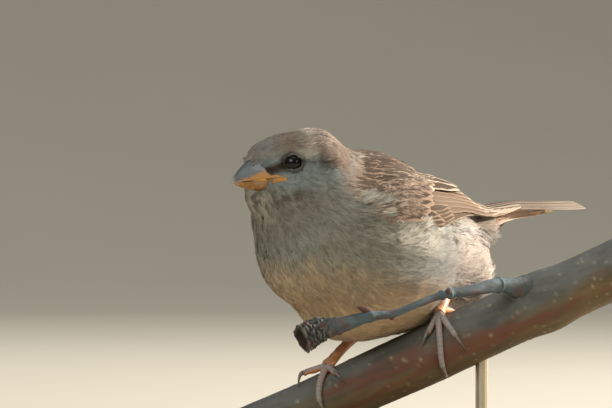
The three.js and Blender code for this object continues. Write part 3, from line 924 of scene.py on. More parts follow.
def feathered(template, spots, outs, lengths, widths):
    """Every feather of one template at once: points and normals, feather by feather."""
    shape, _, _, grain = template
    root, middle, tip = (spot[:, None] for spot in spots)
    a, c, h = shape.T
    at_root, at_middle, at_tip = 2 * (a - 0.5) * (a - 1), -4 * a * (a - 1), 2 * a * (a - 0.5)
    spine = root * at_root[:, None] + middle * at_middle[:, None] + tip * at_tip[:, None]
    heading = unit(tip - root + (root - 2 * middle + tip) * (4 * a - 2)[:, None] * 0.5)
    share = np.clip(a, 0, 1)[:, None]
    up = unit(outs[0][:, None] * (1 - share) + outs[2][:, None] * share)
    side = unit(np.cross(up, heading))
    lift = h * lengths[:, None] - 0.14 * widths[:, None] * c**2
    points = spine + side * (c * widths[:, None])[..., None] + up * lift[..., None]
    return points, up + side * (c * 0.2 + 0.1 * grain)[:, None] - heading * 0.1


def coat_lengths(points):
    """How long the feathers are at points on the skin, in millimetres."""
    (bx, _, bz), head = into(BODY, points).T, into(HEAD, points)
    from_bill = np.linalg.norm(head - np.array(BILL_ROOT), axis=1)
    on_head = 1.5 + 0.15 * from_bill + 0.8 * smooth(-5, -9, head[:, 2])
    on_body = 7.4 + 2.2 * smooth(2, -16, bz) + 1.8 * smooth(-8, -22, bx)
    length = on_head + (on_body - on_head) * smooth(31, 14, head_reach(bx, bz))
    return length * (0.45 + 0.55 * smooth(2.2, 5.5, from_eye(head)))


def leaf(rng, rows, columns, blunt=0.4, nicks=0.08, thick=0.0, base=0.35):
    """One firm feather as a grid: (along, across, lift) with across in -1..1, its triangles and its lay."""
    share = 1 - (1 - np.linspace(0, 1, rows)) ** 1.5
    grow = base + (1 - base) * smooth(0, 0.4, share)
    past = np.clip(share - (1 - blunt), 0, None) / (blunt + 0.02)
    tip = np.sqrt(np.clip(1 - past**2, 0.001, 1))
    sides = np.linspace(-1, 1, columns)
    ragged = 1 - nicks * rng.random((rows, 2)) ** 3 * 2
    reach = np.where(sides[None] < 0, ragged[:, :1], ragged[:, 1:]) * (grow * tip)[:, None]
    across = sides[None] * reach
    along = share[:, None] - 0.1 * np.abs(across) * (1 - share[:, None])
    ridge = 0.10 * hump(sides[None] / 0.12) * (1 - share[:, None])
    top = np.stack([along, across, ridge], -1)
    lay = np.stack([along, sides[None] + 0 * along, 0 * along], -1)
    if not thick:
        points, lay = top.reshape(-1, 3), lay.reshape(-1, 3)
        return points, facing_up(points, triangles(grid_faces(rows, columns))), lay, np.zeros(len(points))
    under = top.copy()
    under[..., 2] -= thick
    points, faces = loft(np.concatenate([top, under[:, ::-1]], 1))
    lay = np.concatenate([lay, lay[:, ::-1]], 1).reshape(-1, 3)
    return points, faces, np.concatenate([lay, [[0, 0, 0], [1, 0, 0]]]), np.zeros(len(points))


def heap(name, slot, material, batches):
    """Feather batches as pieces of no more than MOST_TRIANGLES each."""
    held, count = [[]], 0
    for batch in batches:
        if held[-1] and count + len(batch["faces"]) > MOST_TRIANGLES:
            held.append([])
            count = 0
        held[-1].append(batch)
        count += len(batch["faces"])
    pieces = []
    for number, group in enumerate(held, 1):
        points, faces = joined([(batch["points"], batch["faces"]) for batch in group])
        rest = {key: np.concatenate([batch[key] for batch in group])
                for key in ("tint", "core", "lay", "uvs", "normals")}
        ending = f"_{number}" if len(held) > 1 else ""
        pieces.append(mesh_piece(name + ending, points, faces, material, slot, **rest))
    return pieces


def root_speck(uv, lay):
    """The UVs of a feather: a speck at its root's own, so that it takes the colour from there."""
    speck = SPECK * np.stack([lay[:, 0] * 2 - 1, lay[:, 1]], 1)
    return np.clip(uv + speck, UV_MARGIN, 1 - UV_MARGIN)


def batch_of(template, placed, tint, core, edge, root_uvs, shade):
    """The arrays of all the feathers of one template, shaded from root to tip."""
    points, normals = placed
    shape, faces, lay, grain = template
    count, size = points.shape[:2]
    darker = (shade(shape[:, 0]) * (1 + 0.1 * grain))[None, :, None]
    lays = np.tile(lay, (count, 1, 1))
    lays[..., 2] = edge[:, None]
    return {
        "points": points.reshape(-1, 3),
        "normals": unit(normals).reshape(-1, 3),
        "faces": (faces[None] + (np.arange(count) * size)[:, None, None]).reshape(-1, 3),
        "tint": (tint[:, None] * darker).reshape(-1, 3),
        "core": (core[:, None] * darker).reshape(-1, 3),
        "lay": lays.reshape(-1, 3),
        "uvs": root_speck(root_uvs[:, None], lay).reshape(-1, 2),
    }


WING_X = (11, 5, -9, -21, -34, -48)
WING_ROWS = ((23.6, 23.9, 21.8, 16.6, 10.4, 4.6), (0, 1, 3, 8, 12.4, 18), (24, 23.6, 20.6, 13.6, 5.2, 2.6),
             (14, 16, 15, 19, 20, 8), (48, 62, 78, 76, 68, 60))


def wing_section(x):
    """A folded wing's section at x: half width, middle, half height, and the turn of its two edges."""
    return (stations(WING_X, row, x) for row in WING_ROWS)


def wing_share(points):
    """Where points lie on a folded wing: along the body, the share of its height, and how surely."""
    x, y, z = into(BODY, points).T
    width, middle, height, low, high = wing_section(x)
    across, up = np.abs(y) / width, (z - middle) / height
    turn = np.degrees(np.arctan2(up, across))
    sure = smooth(0.76, 0.86, np.hypot(across, up))
    sure = sure * smooth(low - 3, low + 1, turn) * smooth(high + 2, high - 3, turn)
    share = (turn - low) / (high - low)
    sure = sure * smooth(22, 19, x) * smooth(-42, -40, x)
    return x, share, sure * smooth(-0.04, 0.04, share - wing_front(x))


def wing_front(x):
    """The lowest share of the wing that shows, where the breast feathers close over its front."""
    return stations((6, 8.5, 12, 15, 19.5), (-0.4, -0.05, 0.1, 0.42, 0.7), x)


def on_wing(points):
    """Whether points of the skin lie under the firm rows of a folded wing."""
    x, share, sure = wing_share(points)
    return (sure > 0.5) & (x < 10.5 - 11.5 * share - 3 * share**3)


def covered(points):
    """Whether feathers have no room at points: under the wings, in the bill, and inside the eyelids."""
    head = into(HEAD, points)
    hidden = on_wing(points) | ((past_bill_line(head) > -0.15) & (np.abs(head[:, 1]) < 9) & (head[:, 0] > 4))
    for side in (1, -1):
        ahead, above, out = by_eye(head, side)
        hidden |= (out > 0) & (np.hypot((ahead - 0.35) / 1.1, above / 0.84) < 2.3)
    return hidden


def skin_arrays():
    """The skin's points in millimetres, its triangles, and the UVs of each triangle's corners."""
    data = bpy.data.objects["skin"].data
    points, faces = np.empty(len(data.vertices) * 3, np.float32), np.empty(len(data.loops), np.int32)
    uvs = np.empty(len(data.loops) * 2, np.float32)
    data.vertices.foreach_get("co", points)
    data.loops.foreach_get("vertex_index", faces)
    data.uv_layers["OFBake"].data.foreach_get("uv", uvs)
    return points.reshape(-1, 3).astype(float) / MM, faces.reshape(-1, 3), uvs.reshape(-1, 3, 2)


def make_coat():
    """Lay the small feathers over the skin, in groups, and the bristles over the bill's root."""
    seed = bpy.context.scene.sparrow_plumage.seed
    rng = np.random.default_rng(seed)
    points, faces, corner_uvs = skin_arrays()
    firm_nodes = ["tail"] + [f"wing_{side}_{part}" for side in ("left", "right")
                             for part in ("secondaries", "primaries")]
    ground = Ground(*joined([(points, faces)] + [swollen(name, -0.5) for name in firm_nodes]))
    gaps = LEAST_GAP + GAP_BY_LENGTH * coat_lengths(points[faces].mean(1))
    gaps = gaps * 1
    pick, weights, roots = scatter(points, faces, gaps, seed)
    root_uvs = np.einsum("ij,ijk->ik", weights, corner_uvs[pick])
    free = ~covered(roots)
    roots, root_uvs = roots[free], root_uvs[free]

    count = len(roots)
    (bx, by, bz), (_, hy, hz) = into(BODY, roots).T, into(HEAD, roots).T
    reach, depth = head_reach(bx, bz), coat_depth(roots)
    lengths = coat_lengths(roots) * rng.uniform(0.85, 1.15, count)
    lengths = lengths * (1 + 0.3 * smooth(14, 17, bz) * smooth(14, 9, bx))

    # loose plumes at the rear, over the wing's lower edge, before its front and beside the rump
    loose = smooth(-12, -26, bx) * smooth(6, -4, bz)
    x, share, sure = wing_share(roots)
    fringe = smooth(-0.6, -0.35, share) * smooth(0.02, -0.12, share) * smooth(13, 10, x) * smooth(-5, -1, x)
    fringe *= smooth(14, 17, np.abs(by))
    fringe *= rng.random(count) < 0.75
    front = smooth(13, 15.5, x) * smooth(22, 19, x) * smooth(0.16, 0.05, np.abs(share - wing_front(x) + 0.05))
    front *= (rng.random(count) < 0.4) * smooth(10, 13, np.abs(by))
    rump = smooth(-8, -13, bx) * smooth(-34, -28, bx) * smooth(3, 8, bz) * smooth(2, 5, np.abs(by))
    turns = rng.normal(0, 0.13, count) * (1 + loose)
    turns = turns + np.sign(by) * (fringe + 0.9 * front) * rng.uniform(0.15, 0.7, count)
    raised = fringe * rng.uniform(0.3, 1.2, count) + front * rng.uniform(0.5, 1.5, count)
    raised = raised + rump * rng.uniform(0.3, 3.6, count)
    rise_middle = depth * rng.uniform(0.58, 0.68, count) + 0.7 * raised
    rise_tip = depth * (rng.uniform(0.84, 0.96, count) + 1.3 * loose * rng.random(count) ** 3) + raised
    first, middle, tip, outs = lie(ground, roots, lengths, (rise_middle, rise_tip), turns)
    steady = ((outs[0] * outs[1]).sum(1) > MOST_BEND) & ((outs[1] * outs[2]).sum(1) > MOST_BEND)
    steady &= np.linalg.norm(tip - first, axis=1) > 0.55 * lengths

    # colours, taken between root and tip, and paler where a plume lies over the wing
    share_out = (1 - np.minimum((fringe + front) * 4, 1))[:, None]
    tint, core = markings(roots + (middle * 0.6 + tip * 0.4 - roots) * share_out)
    white = 0.5 * np.minimum(fringe + front, 1)
    lift = rng.normal(1, 0.06, count)[:, None]
    tint, core = (blend(colour, tone("bar") * 0.8, white) * lift for colour in (tint, core))

    # which feathers go together: chosen, barbs (0 for a firm leaf), fray, slimness and slot
    back_line = bz + 0.12 * bx - 0.02 * by**2 * smooth(8, 20, bx)
    back = (back_line > 11.5) & (reach < 25.2 + rng.normal(0, 0.9, count))
    shoulder = (sure > 0.5) & (share > 0.06) & (share < 0.86) & (reach < 24)
    back &= ~shoulder & ~((bx < -12) & (np.abs(by) > 3.5))
    head = ~back & ~shoulder & (reach > 25)
    below = ~back & ~head & ~shoulder
    groups = {
        "coat_head": (head, 9, 0.08, 0.27, "plumage_head"),
        "coat_back": (back & (rng.random(count) < 0.6), 0, 0, 0.21, "plumage_body"),
        "coat_shoulder": (shoulder, 12, 0.1, 0.27, "plumage_wing"),
        "coat_breast": (below & (bx > 3), 13, 0.12, 0.21, "plumage_body"),
        "coat_belly": (below & (bx <= 3) & (bx > -14), 13, 0.14, 0.21, "plumage_body"),
        "coat_rear": (below & (bx <= -14), 13, 0.18, 0.2, "plumage_body"),
    }
    soft, firm = loose_plumage("soft_plumage"), plumage("back_plumage", 0.85, 0.05)
    soft_edge = np.where(shoulder, 0.3, np.where(hz > 3, 0.12, NO_STREAK))
    for name, (chosen, barbs, fray, slim, slot) in groups.items():
        batches = []
        for variant in range(VARIANTS):
            mine = np.flatnonzero(chosen & steady & (np.arange(count) % VARIANTS == variant))
            if not len(mine):
                continue
            template = plume(rng, barbs, fray) if barbs else leaf(rng, 9, 7, 0.42, 0.25)
            widths = lengths[mine] * slim * rng.uniform(0.85, 1.15, len(mine))
            spots = first[mine], middle[mine], tip[mine]
            placed = feathered(template, spots, [out[mine] for out in outs], lengths[mine], widths)
            edge = soft_edge[mine] if barbs else np.full(len(mine), FIRM_EDGE)
            batches.append(batch_of(template, placed, tint[mine], core[mine], edge, root_uvs[mine],
                                    lambda a: 0.86 + 0.14 * smooth(0.1, 0.7, a)))
        heap(name, slot, soft if barbs else firm, batches)

    rng = np.random.default_rng(seed + 9)
    near_bill = (past_bill_line(into(HEAD, roots)) > -1.5) & (hz > 0.2) & (hz < 4.6) & (np.abs(hy) < 4.8)
    mine = np.flatnonzero(near_bill & (rng.random(count) < 0.5))
    make_bristles(rng, soft, first[mine], outs[0][mine], root_uvs[mine])


def make_bristles(rng, material, base, up, root_uvs):
    """Lay short bristles that point forward and down over the root of the bill."""
    count = len(base)
    long = rng.uniform(1.1, 2.0, count)
    way = np.stack([np.ones(count), rng.normal(0, 0.3, count), rng.normal(-0.75, 0.15, count)], 1)
    way = turned(HEAD, unit(way))
    middle = base + way * (long * 0.5)[:, None] + up * 0.35
    tip = base + way * long[:, None] + up * rng.uniform(0.2, 0.6, count)[:, None]
    template = plume(rng, 7, 0.15)
    placed = feathered(template, (base, middle, tip), [up] * 3, long, long * 0.24)
    pale = np.tile(tone("forehead") * 1.1, (count, 1)) * rng.uniform(0.8, 1.25, count)[:, None]
    batch = batch_of(template, placed, pale, pale * 0.9, np.full(count, NO_STREAK), root_uvs,
                     lambda a: 0.9 + 0.1 * a)
    heap("coat_bristles", "plumage_head", material, [batch])


# ---------- wings and tail ----------


def wing_place(side, x, v, inset):
    """A point of the folded wing: x along the body, v up it from its lower edge, inset under its surface."""
    width, middle, height, low, high = wing_section(x)
    turn = np.radians(low + (high - low) * v)
    y, z = side * (width - inset) * np.cos(turn), middle + (height - inset) * np.sin(turn)
    return out_of(BODY, np.stack([x, y, z], -1))


def wing_arc(x):
    """How far it is over the folded wing from its lower to its upper edge."""
    width, _, height, low, high = wing_section(x)
    return (width + height) / 2 * np.radians(high - low)


def tail_place(run, y, lift):
    """A point of the folded tail: run along it from its root, y across, lift off its middle."""
    pitch = math.radians(TAIL_PITCH)
    arch = 0.5 * np.sin(math.pi * np.clip(run / TAIL_LENGTH, 0, 1))
    ridge = 14 + run * math.sin(pitch) + arch - 1.6 * smooth(34, 16, run)
    x = -15 - run * math.cos(pitch)
    return out_of(BODY, np.stack([x, y, ridge - tail_curve(y) + lift], -1))


def tail_curve(y):
    """How far the folded tail falls off from its ridge to its sides."""
    return 2.4 * (y / 6.5) ** 2


def vane(template, place, tint, core, tip, edge, uv):
    """One wing or tail feather: place turns (along, across, lift) into points."""
    shape, faces, lay, _ = template
    points = place(*shape.T)
    faces = facing_out(points, faces)
    lays = lay.copy()
    lays[:, 2] = edge
    return {
        "points": points,
        "faces": faces,
        "normals": vertex_normals(points, faces),
        "tint": tint + (tip - tint) * smooth(0.91, 0.965, shape[:, :1]),
        "core": np.tile(core, (len(points), 1)),
        "lay": lays,
        "uvs": root_speck(uv, lay),
    }


def wing_feathers(rng):
    """The rows of a folded wing: where each feather starts and ends, its half widths and its colours."""
    edge, core, brace = tone("wing_edge"), tone("wing_core"), tone("brace")
    pale = tone("bar") * 0.24 + edge * 0.76
    feathers = []

    def row(count, root, tip, widths, insets, border, colours, tilt, blunt, size=(16, 9), tip_colour=None):
        for k in range(count):
            t = k / max(count - 1, 1)
            jitter = rng.uniform(-1, 1, 4)
            (x0, v0), (x1, v1) = root(t), tip(t)
            feathers.append({
                "root": (x0, v0 + 0.006 * jitter[0]), "tip": (x1 + 0.6 * jitter[1], v1 + 0.01 * jitter[2]),
                "widths": widths, "insets": insets, "border": border,
                "tilt": tilt, "blunt": blunt, "size": size,
                "edge": colours[0] * (1 + 0.06 * jitter[3]), "core": colours[1] * (1 + 0.08 * jitter[2]),
                "pale": tip_colour(t) if tip_colour else colours[0],
            })

    # primaries, secondaries, tertials
    row(8, lambda t: (-2 - t, 0.03 + 0.22 * t), lambda t: (-48 + 12 * t**1.4, 0.2 + 0.42 * t),
        (1.3, 2.0), (2.1, 0.2), 0.8, (brace * 0.78, core * 1.7), 0.12, 0.14, (26, 9))
    row(6, lambda t: (1 - t, 0.27 + 0.42 * t), lambda t: (-36 + 13.5 * t**0.8, 0.2 + 0.42 * t),
        (2.2, 2.6), (2.1, 0.1), 0.74, (edge * 0.85, edge * 0.55), 0.25, 0.3, (22, 9), lambda t: pale)
    row(3, lambda t: (2 + t, 0.64 + 0.3 * t), lambda t: (-20 - 1.5 * t, 0.62 + 0.36 * t),
        (3.0, 3.1), (1.6, -0.5), 0.76, (pale, core), 0.2, 0.4, (22, 11))
    # primary coverts, the small feathers of the wrist, greater coverts
    row(5, lambda t: (1, 0.04 + 0.16 * t), lambda t: (-13 + 2 * t, 0.04 + 0.2 * t),
        (1.2, 1.6), (1.9, 0.35), 0.7, (edge * 0.9, core * 1.5), 0.2, 0.35)
    row(3, lambda t: (3, 0.06 + 0.08 * t), lambda t: (-8 + 2.5 * t, 0.02 + 0.1 * t),
        (1.2, 1.7), (2.4, 0.25), 0.7, (edge, core * 1.2), 0.15, 0.35)
    row(9, lambda t: (10 - 12 * t - 4.5 * t**3, 0.12 + 0.82 * t),
        lambda t: (-1.2 - 11.5 * t - 4.5 * t**3, 0.06 + 0.88 * t),
        (2.4, 2.4), (2.5, 0.1), 0.5, (edge, core), 0.3, 0.42, (18, 11),
        lambda t: edge * 1.1 + tone("bar") * {4: 0.5, 5: 0.15, 6: 0.5}.get(round(t * 8), 0.0))
    return feathers


def make_wing(side, name):
    """Lay the rows of one folded wing, the lowest first."""
    rng = np.random.default_rng(bpy.context.scene.sparrow_plumage.seed + (1 if side > 0 else 2))
    batches = []
    for number, row in enumerate(wing_feathers(rng)):
        (x0, v0), (x1, v1) = row["root"], row["tip"]
        (lead, trail), (deep, shallow) = row["widths"], row["insets"]
        template = leaf(rng, *row["size"], row["blunt"], 0.08, 0.09)

        def place(a, c, h):
            x = x0 + (x1 - x0) * a
            half = np.where(c < 0, lead, trail)
            v = np.minimum(v0 + (v1 - v0) * a + c * half / np.maximum(wing_arc(x), 4), 0.99)
            sunk = deep + (shallow - deep) * np.clip(a, 0, 1) ** 0.7
            return wing_place(side, x, v, sunk + row["tilt"] * c + 0.15 * c**2 - h)

        uv = np.array([0.02 + 0.012 * (number % 8), 0.02 + 0.004 * (number // 8)])
        batches.append(vane(template, place, row["edge"], row["core"], row["pale"], row["border"], uv))
    return heap(name, "plumage_wing", plumage("wing_vanes_" + name[5:]), batches)


def make_tail():
    """Lay the down under the tail, and its twelve feathers from the outermost to the middle."""
    rng = np.random.default_rng(bpy.context.scene.sparrow_plumage.seed + 3)
    batches = []
    for k in range(40):
        template = leaf(rng, 18, 9, 0.5, 0.25, 0.06)
        first, last = 2 + 0.3 * k + rng.uniform(-1, 1), 25 + 0.6 * k + rng.uniform(-2, 2)
        out, inner = (-1, 1)[k % 2] * rng.uniform(0.3, 4.2), rng.uniform(0, 0.75)
        swing = rng.uniform(-0.6, 0.6)

        def place(a, c, h):
            run = first + (last - first) * a
            drop = stations((5, 14, 21, 26, 33, 43, 50), (-13, -11, -8.0, -5.6, -4.8, -3.6, -2), run)
            y = out * (1 - 0.65 * a) + swing * a + c * 2.2
            return tail_place(run, y, drop * (1 - inner * smooth(0, 0.5, a)) + tail_curve(y) * 0.5 - h)

        uv = np.array([0.78 + 0.004 * k, 0.04])
        # painted light: the down under the tail takes the vent colour lifted 2.7 times, for light glowing
        # through it in the shadow under the tail
        shade = tone("vent") * (2.7 + 0.1 * swing)
        batches.append(vane(template, place, shade, shade * 0.85, shade, 0.3, uv))
    for k in range(5, -1, -1):
        for side in (-1, 1):
            template = leaf(rng, 26, 11, 0.14, 0.05, 0.09, 0.5)
            lift = 0.42 - 0.16 * k + 0.04 * side
            tip = 54.3 + 0.42 * k

            def place(a, c, h):
                half = np.where(c * side < 0, 2.9, 2.3 if k else 2.9) * (0.95 - 0.25 * a)
                y = side * (0.5 + 0.32 * k + (0.25 + 0.3 * k) * a) + c * half
                return tail_place(tip * a, y, lift - 0.1 * side * c + h)

            uv = np.array([0.9 + 0.006 * k, 0.02 if side < 0 else 0.03])
            edge = tone("tail_edge")
            batches.append(vane(template, place, edge, tone("tail_core"), edge, 0.74, uv))
    pieces = heap("tail_feathers", "plumage_tail", plumage("tail_vanes"), batches)
    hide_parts("tail")
    return pieces


# ---------- bill and eyes ----------

BILL_X = (4.8, 8.2, 13.2, 16.2, 18.9)
BILL_WIDTH = (7.7, 6.5, 4.0, 2.15, 0.4)
BILL_CULMEN = (-1.0, 2.6, 2.5, 0.0, -3.2)
BILL_EDGE = (-2.5, -2.8, -3.2, -3.4, -3.7)
BILL_GONYS = (-5.6, -6.9, -6.2, -4.75, -3.7)


def half_bill(upper, rings=64, sides=49):
    """One half of the bill in the head frame: its rings, and how far up its side each point lies."""
    reach = BILL_X[-1] - (0 if upper else 0.8)
    x = BILL_X[0] + (reach - BILL_X[0]) * (1 - (1 - np.linspace(0, 1, rings)) ** 1.7)
    profiles = (BILL_WIDTH, BILL_EDGE, BILL_CULMEN if upper else BILL_GONYS)
    width, edge, far = (stations(BILL_X, profile, x) for profile in profiles)
    base = edge + (0 if upper else -0.22)
    way = 1 if upper else -1
    rise = np.maximum(np.abs(far - edge), 0.3) * way
    blunt = np.sqrt(np.clip((reach - x) / 0.5, 0.02, 1))
    turn = np.linspace(0, math.pi, sides)
    y = np.sign(np.cos(turn)) * np.abs(np.cos(turn)) ** 0.62
    up = np.sin(turn) ** 1.05
    outer = np.stack([x[:, None] + 0 * y, (width * blunt)[:, None] * y,
                      base[:, None] + (rise * blunt)[:, None] * up], -1)
    inner = outer[:, ::-1][:, 1:-1].copy()
    inner[..., 1] *= 0.94
    inner[..., 2] = base[:, None] + 0.12 * way * np.sqrt(np.abs(up[::-1][1:-1]))
    share = np.concatenate([np.tile(up, (rings, 1)), np.zeros((rings, sides - 2))], 1)
    return np.concatenate([outer, inner], 1), share


def make_bill():
    """Make the two halves of the bill and the soft corners of the mouth."""
    horn, dark, yellow, tip, lower, gape = (
        tone(name) for name in ("horn", "horn_dark", "yellow", "pale_tip", "lower", "gape"))
    for name, upper in (("bill_top", True), ("bill_bottom", False)):
        rings, share = half_bill(upper)
        x, y, z = np.moveaxis(rings, -1, 0)
        if upper:
            nostril = hump((x - 10.4) / 0.62, (z - 0.75) / 0.36)
            rings = rings - np.stack([0 * x, np.sign(y) * 0.42 * nostril, 0.1 * nostril], -1)
            groove = hump((share - 0.34) / 0.05) * smooth(17, 11, x)
            ridge = smooth(0.72, 1, share) * 0.75 + smooth(15.5, 18.5, x) * 0.5
            tint = blend(horn, dark, ridge + groove * 0.25)
            band = stations((8, 10, 13, 16, 18.5), (0.46, 0.37, 0.22, 0.11, 0.03), x)
            ragged = share + 0.06 * waves(rings, 1.6, 41, 2)
            tint = blend(tint, yellow, smooth(band + 0.1, band - 0.08, ragged) * 0.9)
            tint = blend(tint, tip, smooth(17.2, 18.6, x) * 0.6)
            tint = blend(tint, dark * 0.25, nostril * 1.3)
        else:
            cloudy = waves(rings, 2.2, 42, 3)
            tint = blend(lower, yellow * 0.9, smooth(0.0, 0.9, cloudy) * 0.7 + smooth(13, 16, x) * 0.35)
            # mottled darker in patches, and painted shade along the underside of the lower bill
            tint = blend(tint, lower * 0.55, smooth(0.1, 0.9, -cloudy) * 0.5 + smooth(0.6, 1, share) * 0.55)
            # painted highlight: a small pale patch on the side of the lower bill, in the tip's colour
            tint = blend(tint, tip * 0.9, hump((x - 11.6) / 1.5, (share - 0.2) / 0.12) * 0.22)
            tint = blend(tint, tip, smooth(16.9, 18, x) * 0.5)
        tint = blend(tint, gape, smooth(9, 6.5, x) * smooth(0.4, 0.15, share) * 0.8)
        points, faces = loft(rings)
        tint = np.concatenate([tint.reshape(-1, 3), tint[0].mean(0)[None], tint[-1].mean(0)[None]])
        material = bare_skin(name + "_horn", 0.18, 0.46, 900.0, 0.18)
        piece = mesh_piece(name, out_of(HEAD, points), facing_out(points, faces), material,
                           "bill_horn" if upper else "bill_yellow", tint)
        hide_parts("bill_upper" if upper else "bill_lower")
    corners = []
    for side in (1, -1):
        x = np.linspace(13.4, 10.1, 30)
        width, edge = stations(BILL_X, BILL_WIDTH, x), stations(BILL_X, BILL_EDGE, x)
        swell = smooth(13, 10.3, x)
        path = np.stack([x, side * (width - 0.2 + 0.15 * swell),
                         edge - 0.13 - 0.2 * swell * smooth(10.7, 10.1, x)], 1)
        fade = np.sqrt(np.linspace(1, 0.4, 30))[:, None]
        corners.append(tube(path, np.stack([0.14 + 0.34 * swell, 0.12 + 0.34 * swell], 1) * fade, 16))
    points, faces = joined(corners)
    mesh_piece("bill_gape", out_of(HEAD, points), faces, bare_skin("gape_skin", 0.3, 0.5, 1400.0, 0.1),
               "bill_yellow", np.tile(gape, (len(points), 1)))


def make_eyes():
    """Make the eyeballs, with a dark pupil, a brown iris and a darker rim."""
    material = eye_material()
    polar, turn = np.linspace(0.02, math.pi - 0.02, 40), around(56)
    radius = EYE_RADIUS + 0.1 * hump(polar / 0.5)
    tint = blend(tone("iris"), np.array([0.004, 0.004, 0.005]), smooth(0.50, 0.44, polar))
    tint = blend(tint, tone("iris") * 0.3, smooth(0.66, 0.76, polar))
    tint = np.repeat(tint, len(turn), 0)
    tint = np.concatenate([tint, tint[:1], tint[-1:]])
    for name, side in (("eye_left", 1), ("eye_right", -1)):
        middle, axis, ahead, above = eye_frame(side)
        circle = ahead * np.cos(turn)[:, None] + above * np.sin(turn)[:, None]
        rings = middle + (radius * np.cos(polar))[:, None, None] * axis
        points, faces = loft(rings + (radius * np.sin(polar))[:, None, None] * circle)
        piece = mesh_piece(f"eyeball_{name[4:]}", out_of(HEAD, points), facing_out(points, faces), material,
                           "eye", tint)
        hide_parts(name)


def eye_material():
    """A wet, dark eye with faint streaks."""

    def wires(at):
        streaks = at.noise(2600.0, 3.0)
        return {"Base Color": at.attribute("tint").shade(0.6 + streaks * 0.8),
                "Roughness": 0.03 + streaks * 0.02}

    return finish("wet_eye", wires, {"Coat Roughness": 0.02, "Specular IOR Level": 0.27})


# ---------- legs ----------

FEET = {
    "left": {
        "joint": (15.5, 20), "ankle": (17, 12, 67),
        "inner": ((12.6, 38, 1.05), (7.4, 70, 0.6)),
        "middle": ((13.3, 62, 1.05), (10.6, 112, 1.05), (10.3, 152, 0.6)),
        "outer": ((16.6, 65, 1.05), (17.9, 108, 0.6)),
        "hind": ((18.2, -14, 1.05), (21, -62, 0.6)),
    },
    "right": {
        "joint": (-17.8, 20), "ankle": (-9.5, 12, 51.5),
        "inner": ((-21.4, 14, 1.8), (-24.8, 20, 2.2), (-27.4, 36, 0.6)),
        "middle": ((-20.8, 44, 1.05), (-23.4, 78, 1.05), (-23.6, 116, 0.6)),
        "outer": ((-16.8, 42, 1.05), (-15.3, 74, 0.6)),
        "hind": ((-17.2, -14, 1.05), (-16.6, -66, 0.6)),
    },
}
CLAW_LENGTH = 4.6
SHANK_PLATES = 7


def perch_axes():
    """The directions along the branch and square to it, upwards."""
    rise = math.radians(PERCH_RISE)
    return np.array([math.cos(rise), 0, math.sin(rise)]), np.array([-math.sin(rise), 0, math.cos(rise)])


def perch_radius(x):
    """The branch's radius at a place along it."""
    return PERCH_RADIUS * (1 + 0.12 * hump((x - 43) / 6) + 0.025 * np.sin(x / 9))


def by_perch(x, turn, height):
    """Points by the branch: x along it, turn round it from its top, height off its axis."""
    slope, normal = perch_axes()
    x, turn, height = np.broadcast_arrays(x, turn, height)
    points = x[..., None] * slope + (height * np.cos(turn))[..., None] * normal
    points[..., 1] -= height * np.sin(turn)
    return points + np.array([0, 0, PERCH_MIDDLE])


def limb(path, ups, across, above, below, sides=28):
    """A limb with its own half width, and its own height above and below the path.

    Also gives how far up each point lies on its ring, and its share of the way along.
    """
    heading = unit(np.gradient(path, axis=0))
    ups = unit(ups - heading * np.einsum("ij,ij->i", ups, heading)[:, None])
    side = np.cross(heading, ups)
    turn = around(sides)
    high = np.where(np.sin(turn)[None] > 0, above[:, None], below[:, None])
    rings = (path[:, None] + side[:, None] * (across[:, None] * np.cos(turn))[..., None]
             + ups[:, None] * (high * np.sin(turn))[..., None])
    points, faces = loft(rings)
    rise = np.concatenate([np.tile(np.sin(turn), len(path)), [0, 0]])
    share = np.concatenate([np.repeat(np.linspace(0, 1, len(path)), sides), [0, 1]])
    return points, facing_out(points, faces), rise, share


def plates(share, count):
    """Overlapping plates along a limb, as a sawtooth in 0..1 with a soft rise and a sharp fall."""
    phase = (share * count) % 1
    return smooth(0, 0.7, phase) * smooth(1, 0.9, phase)


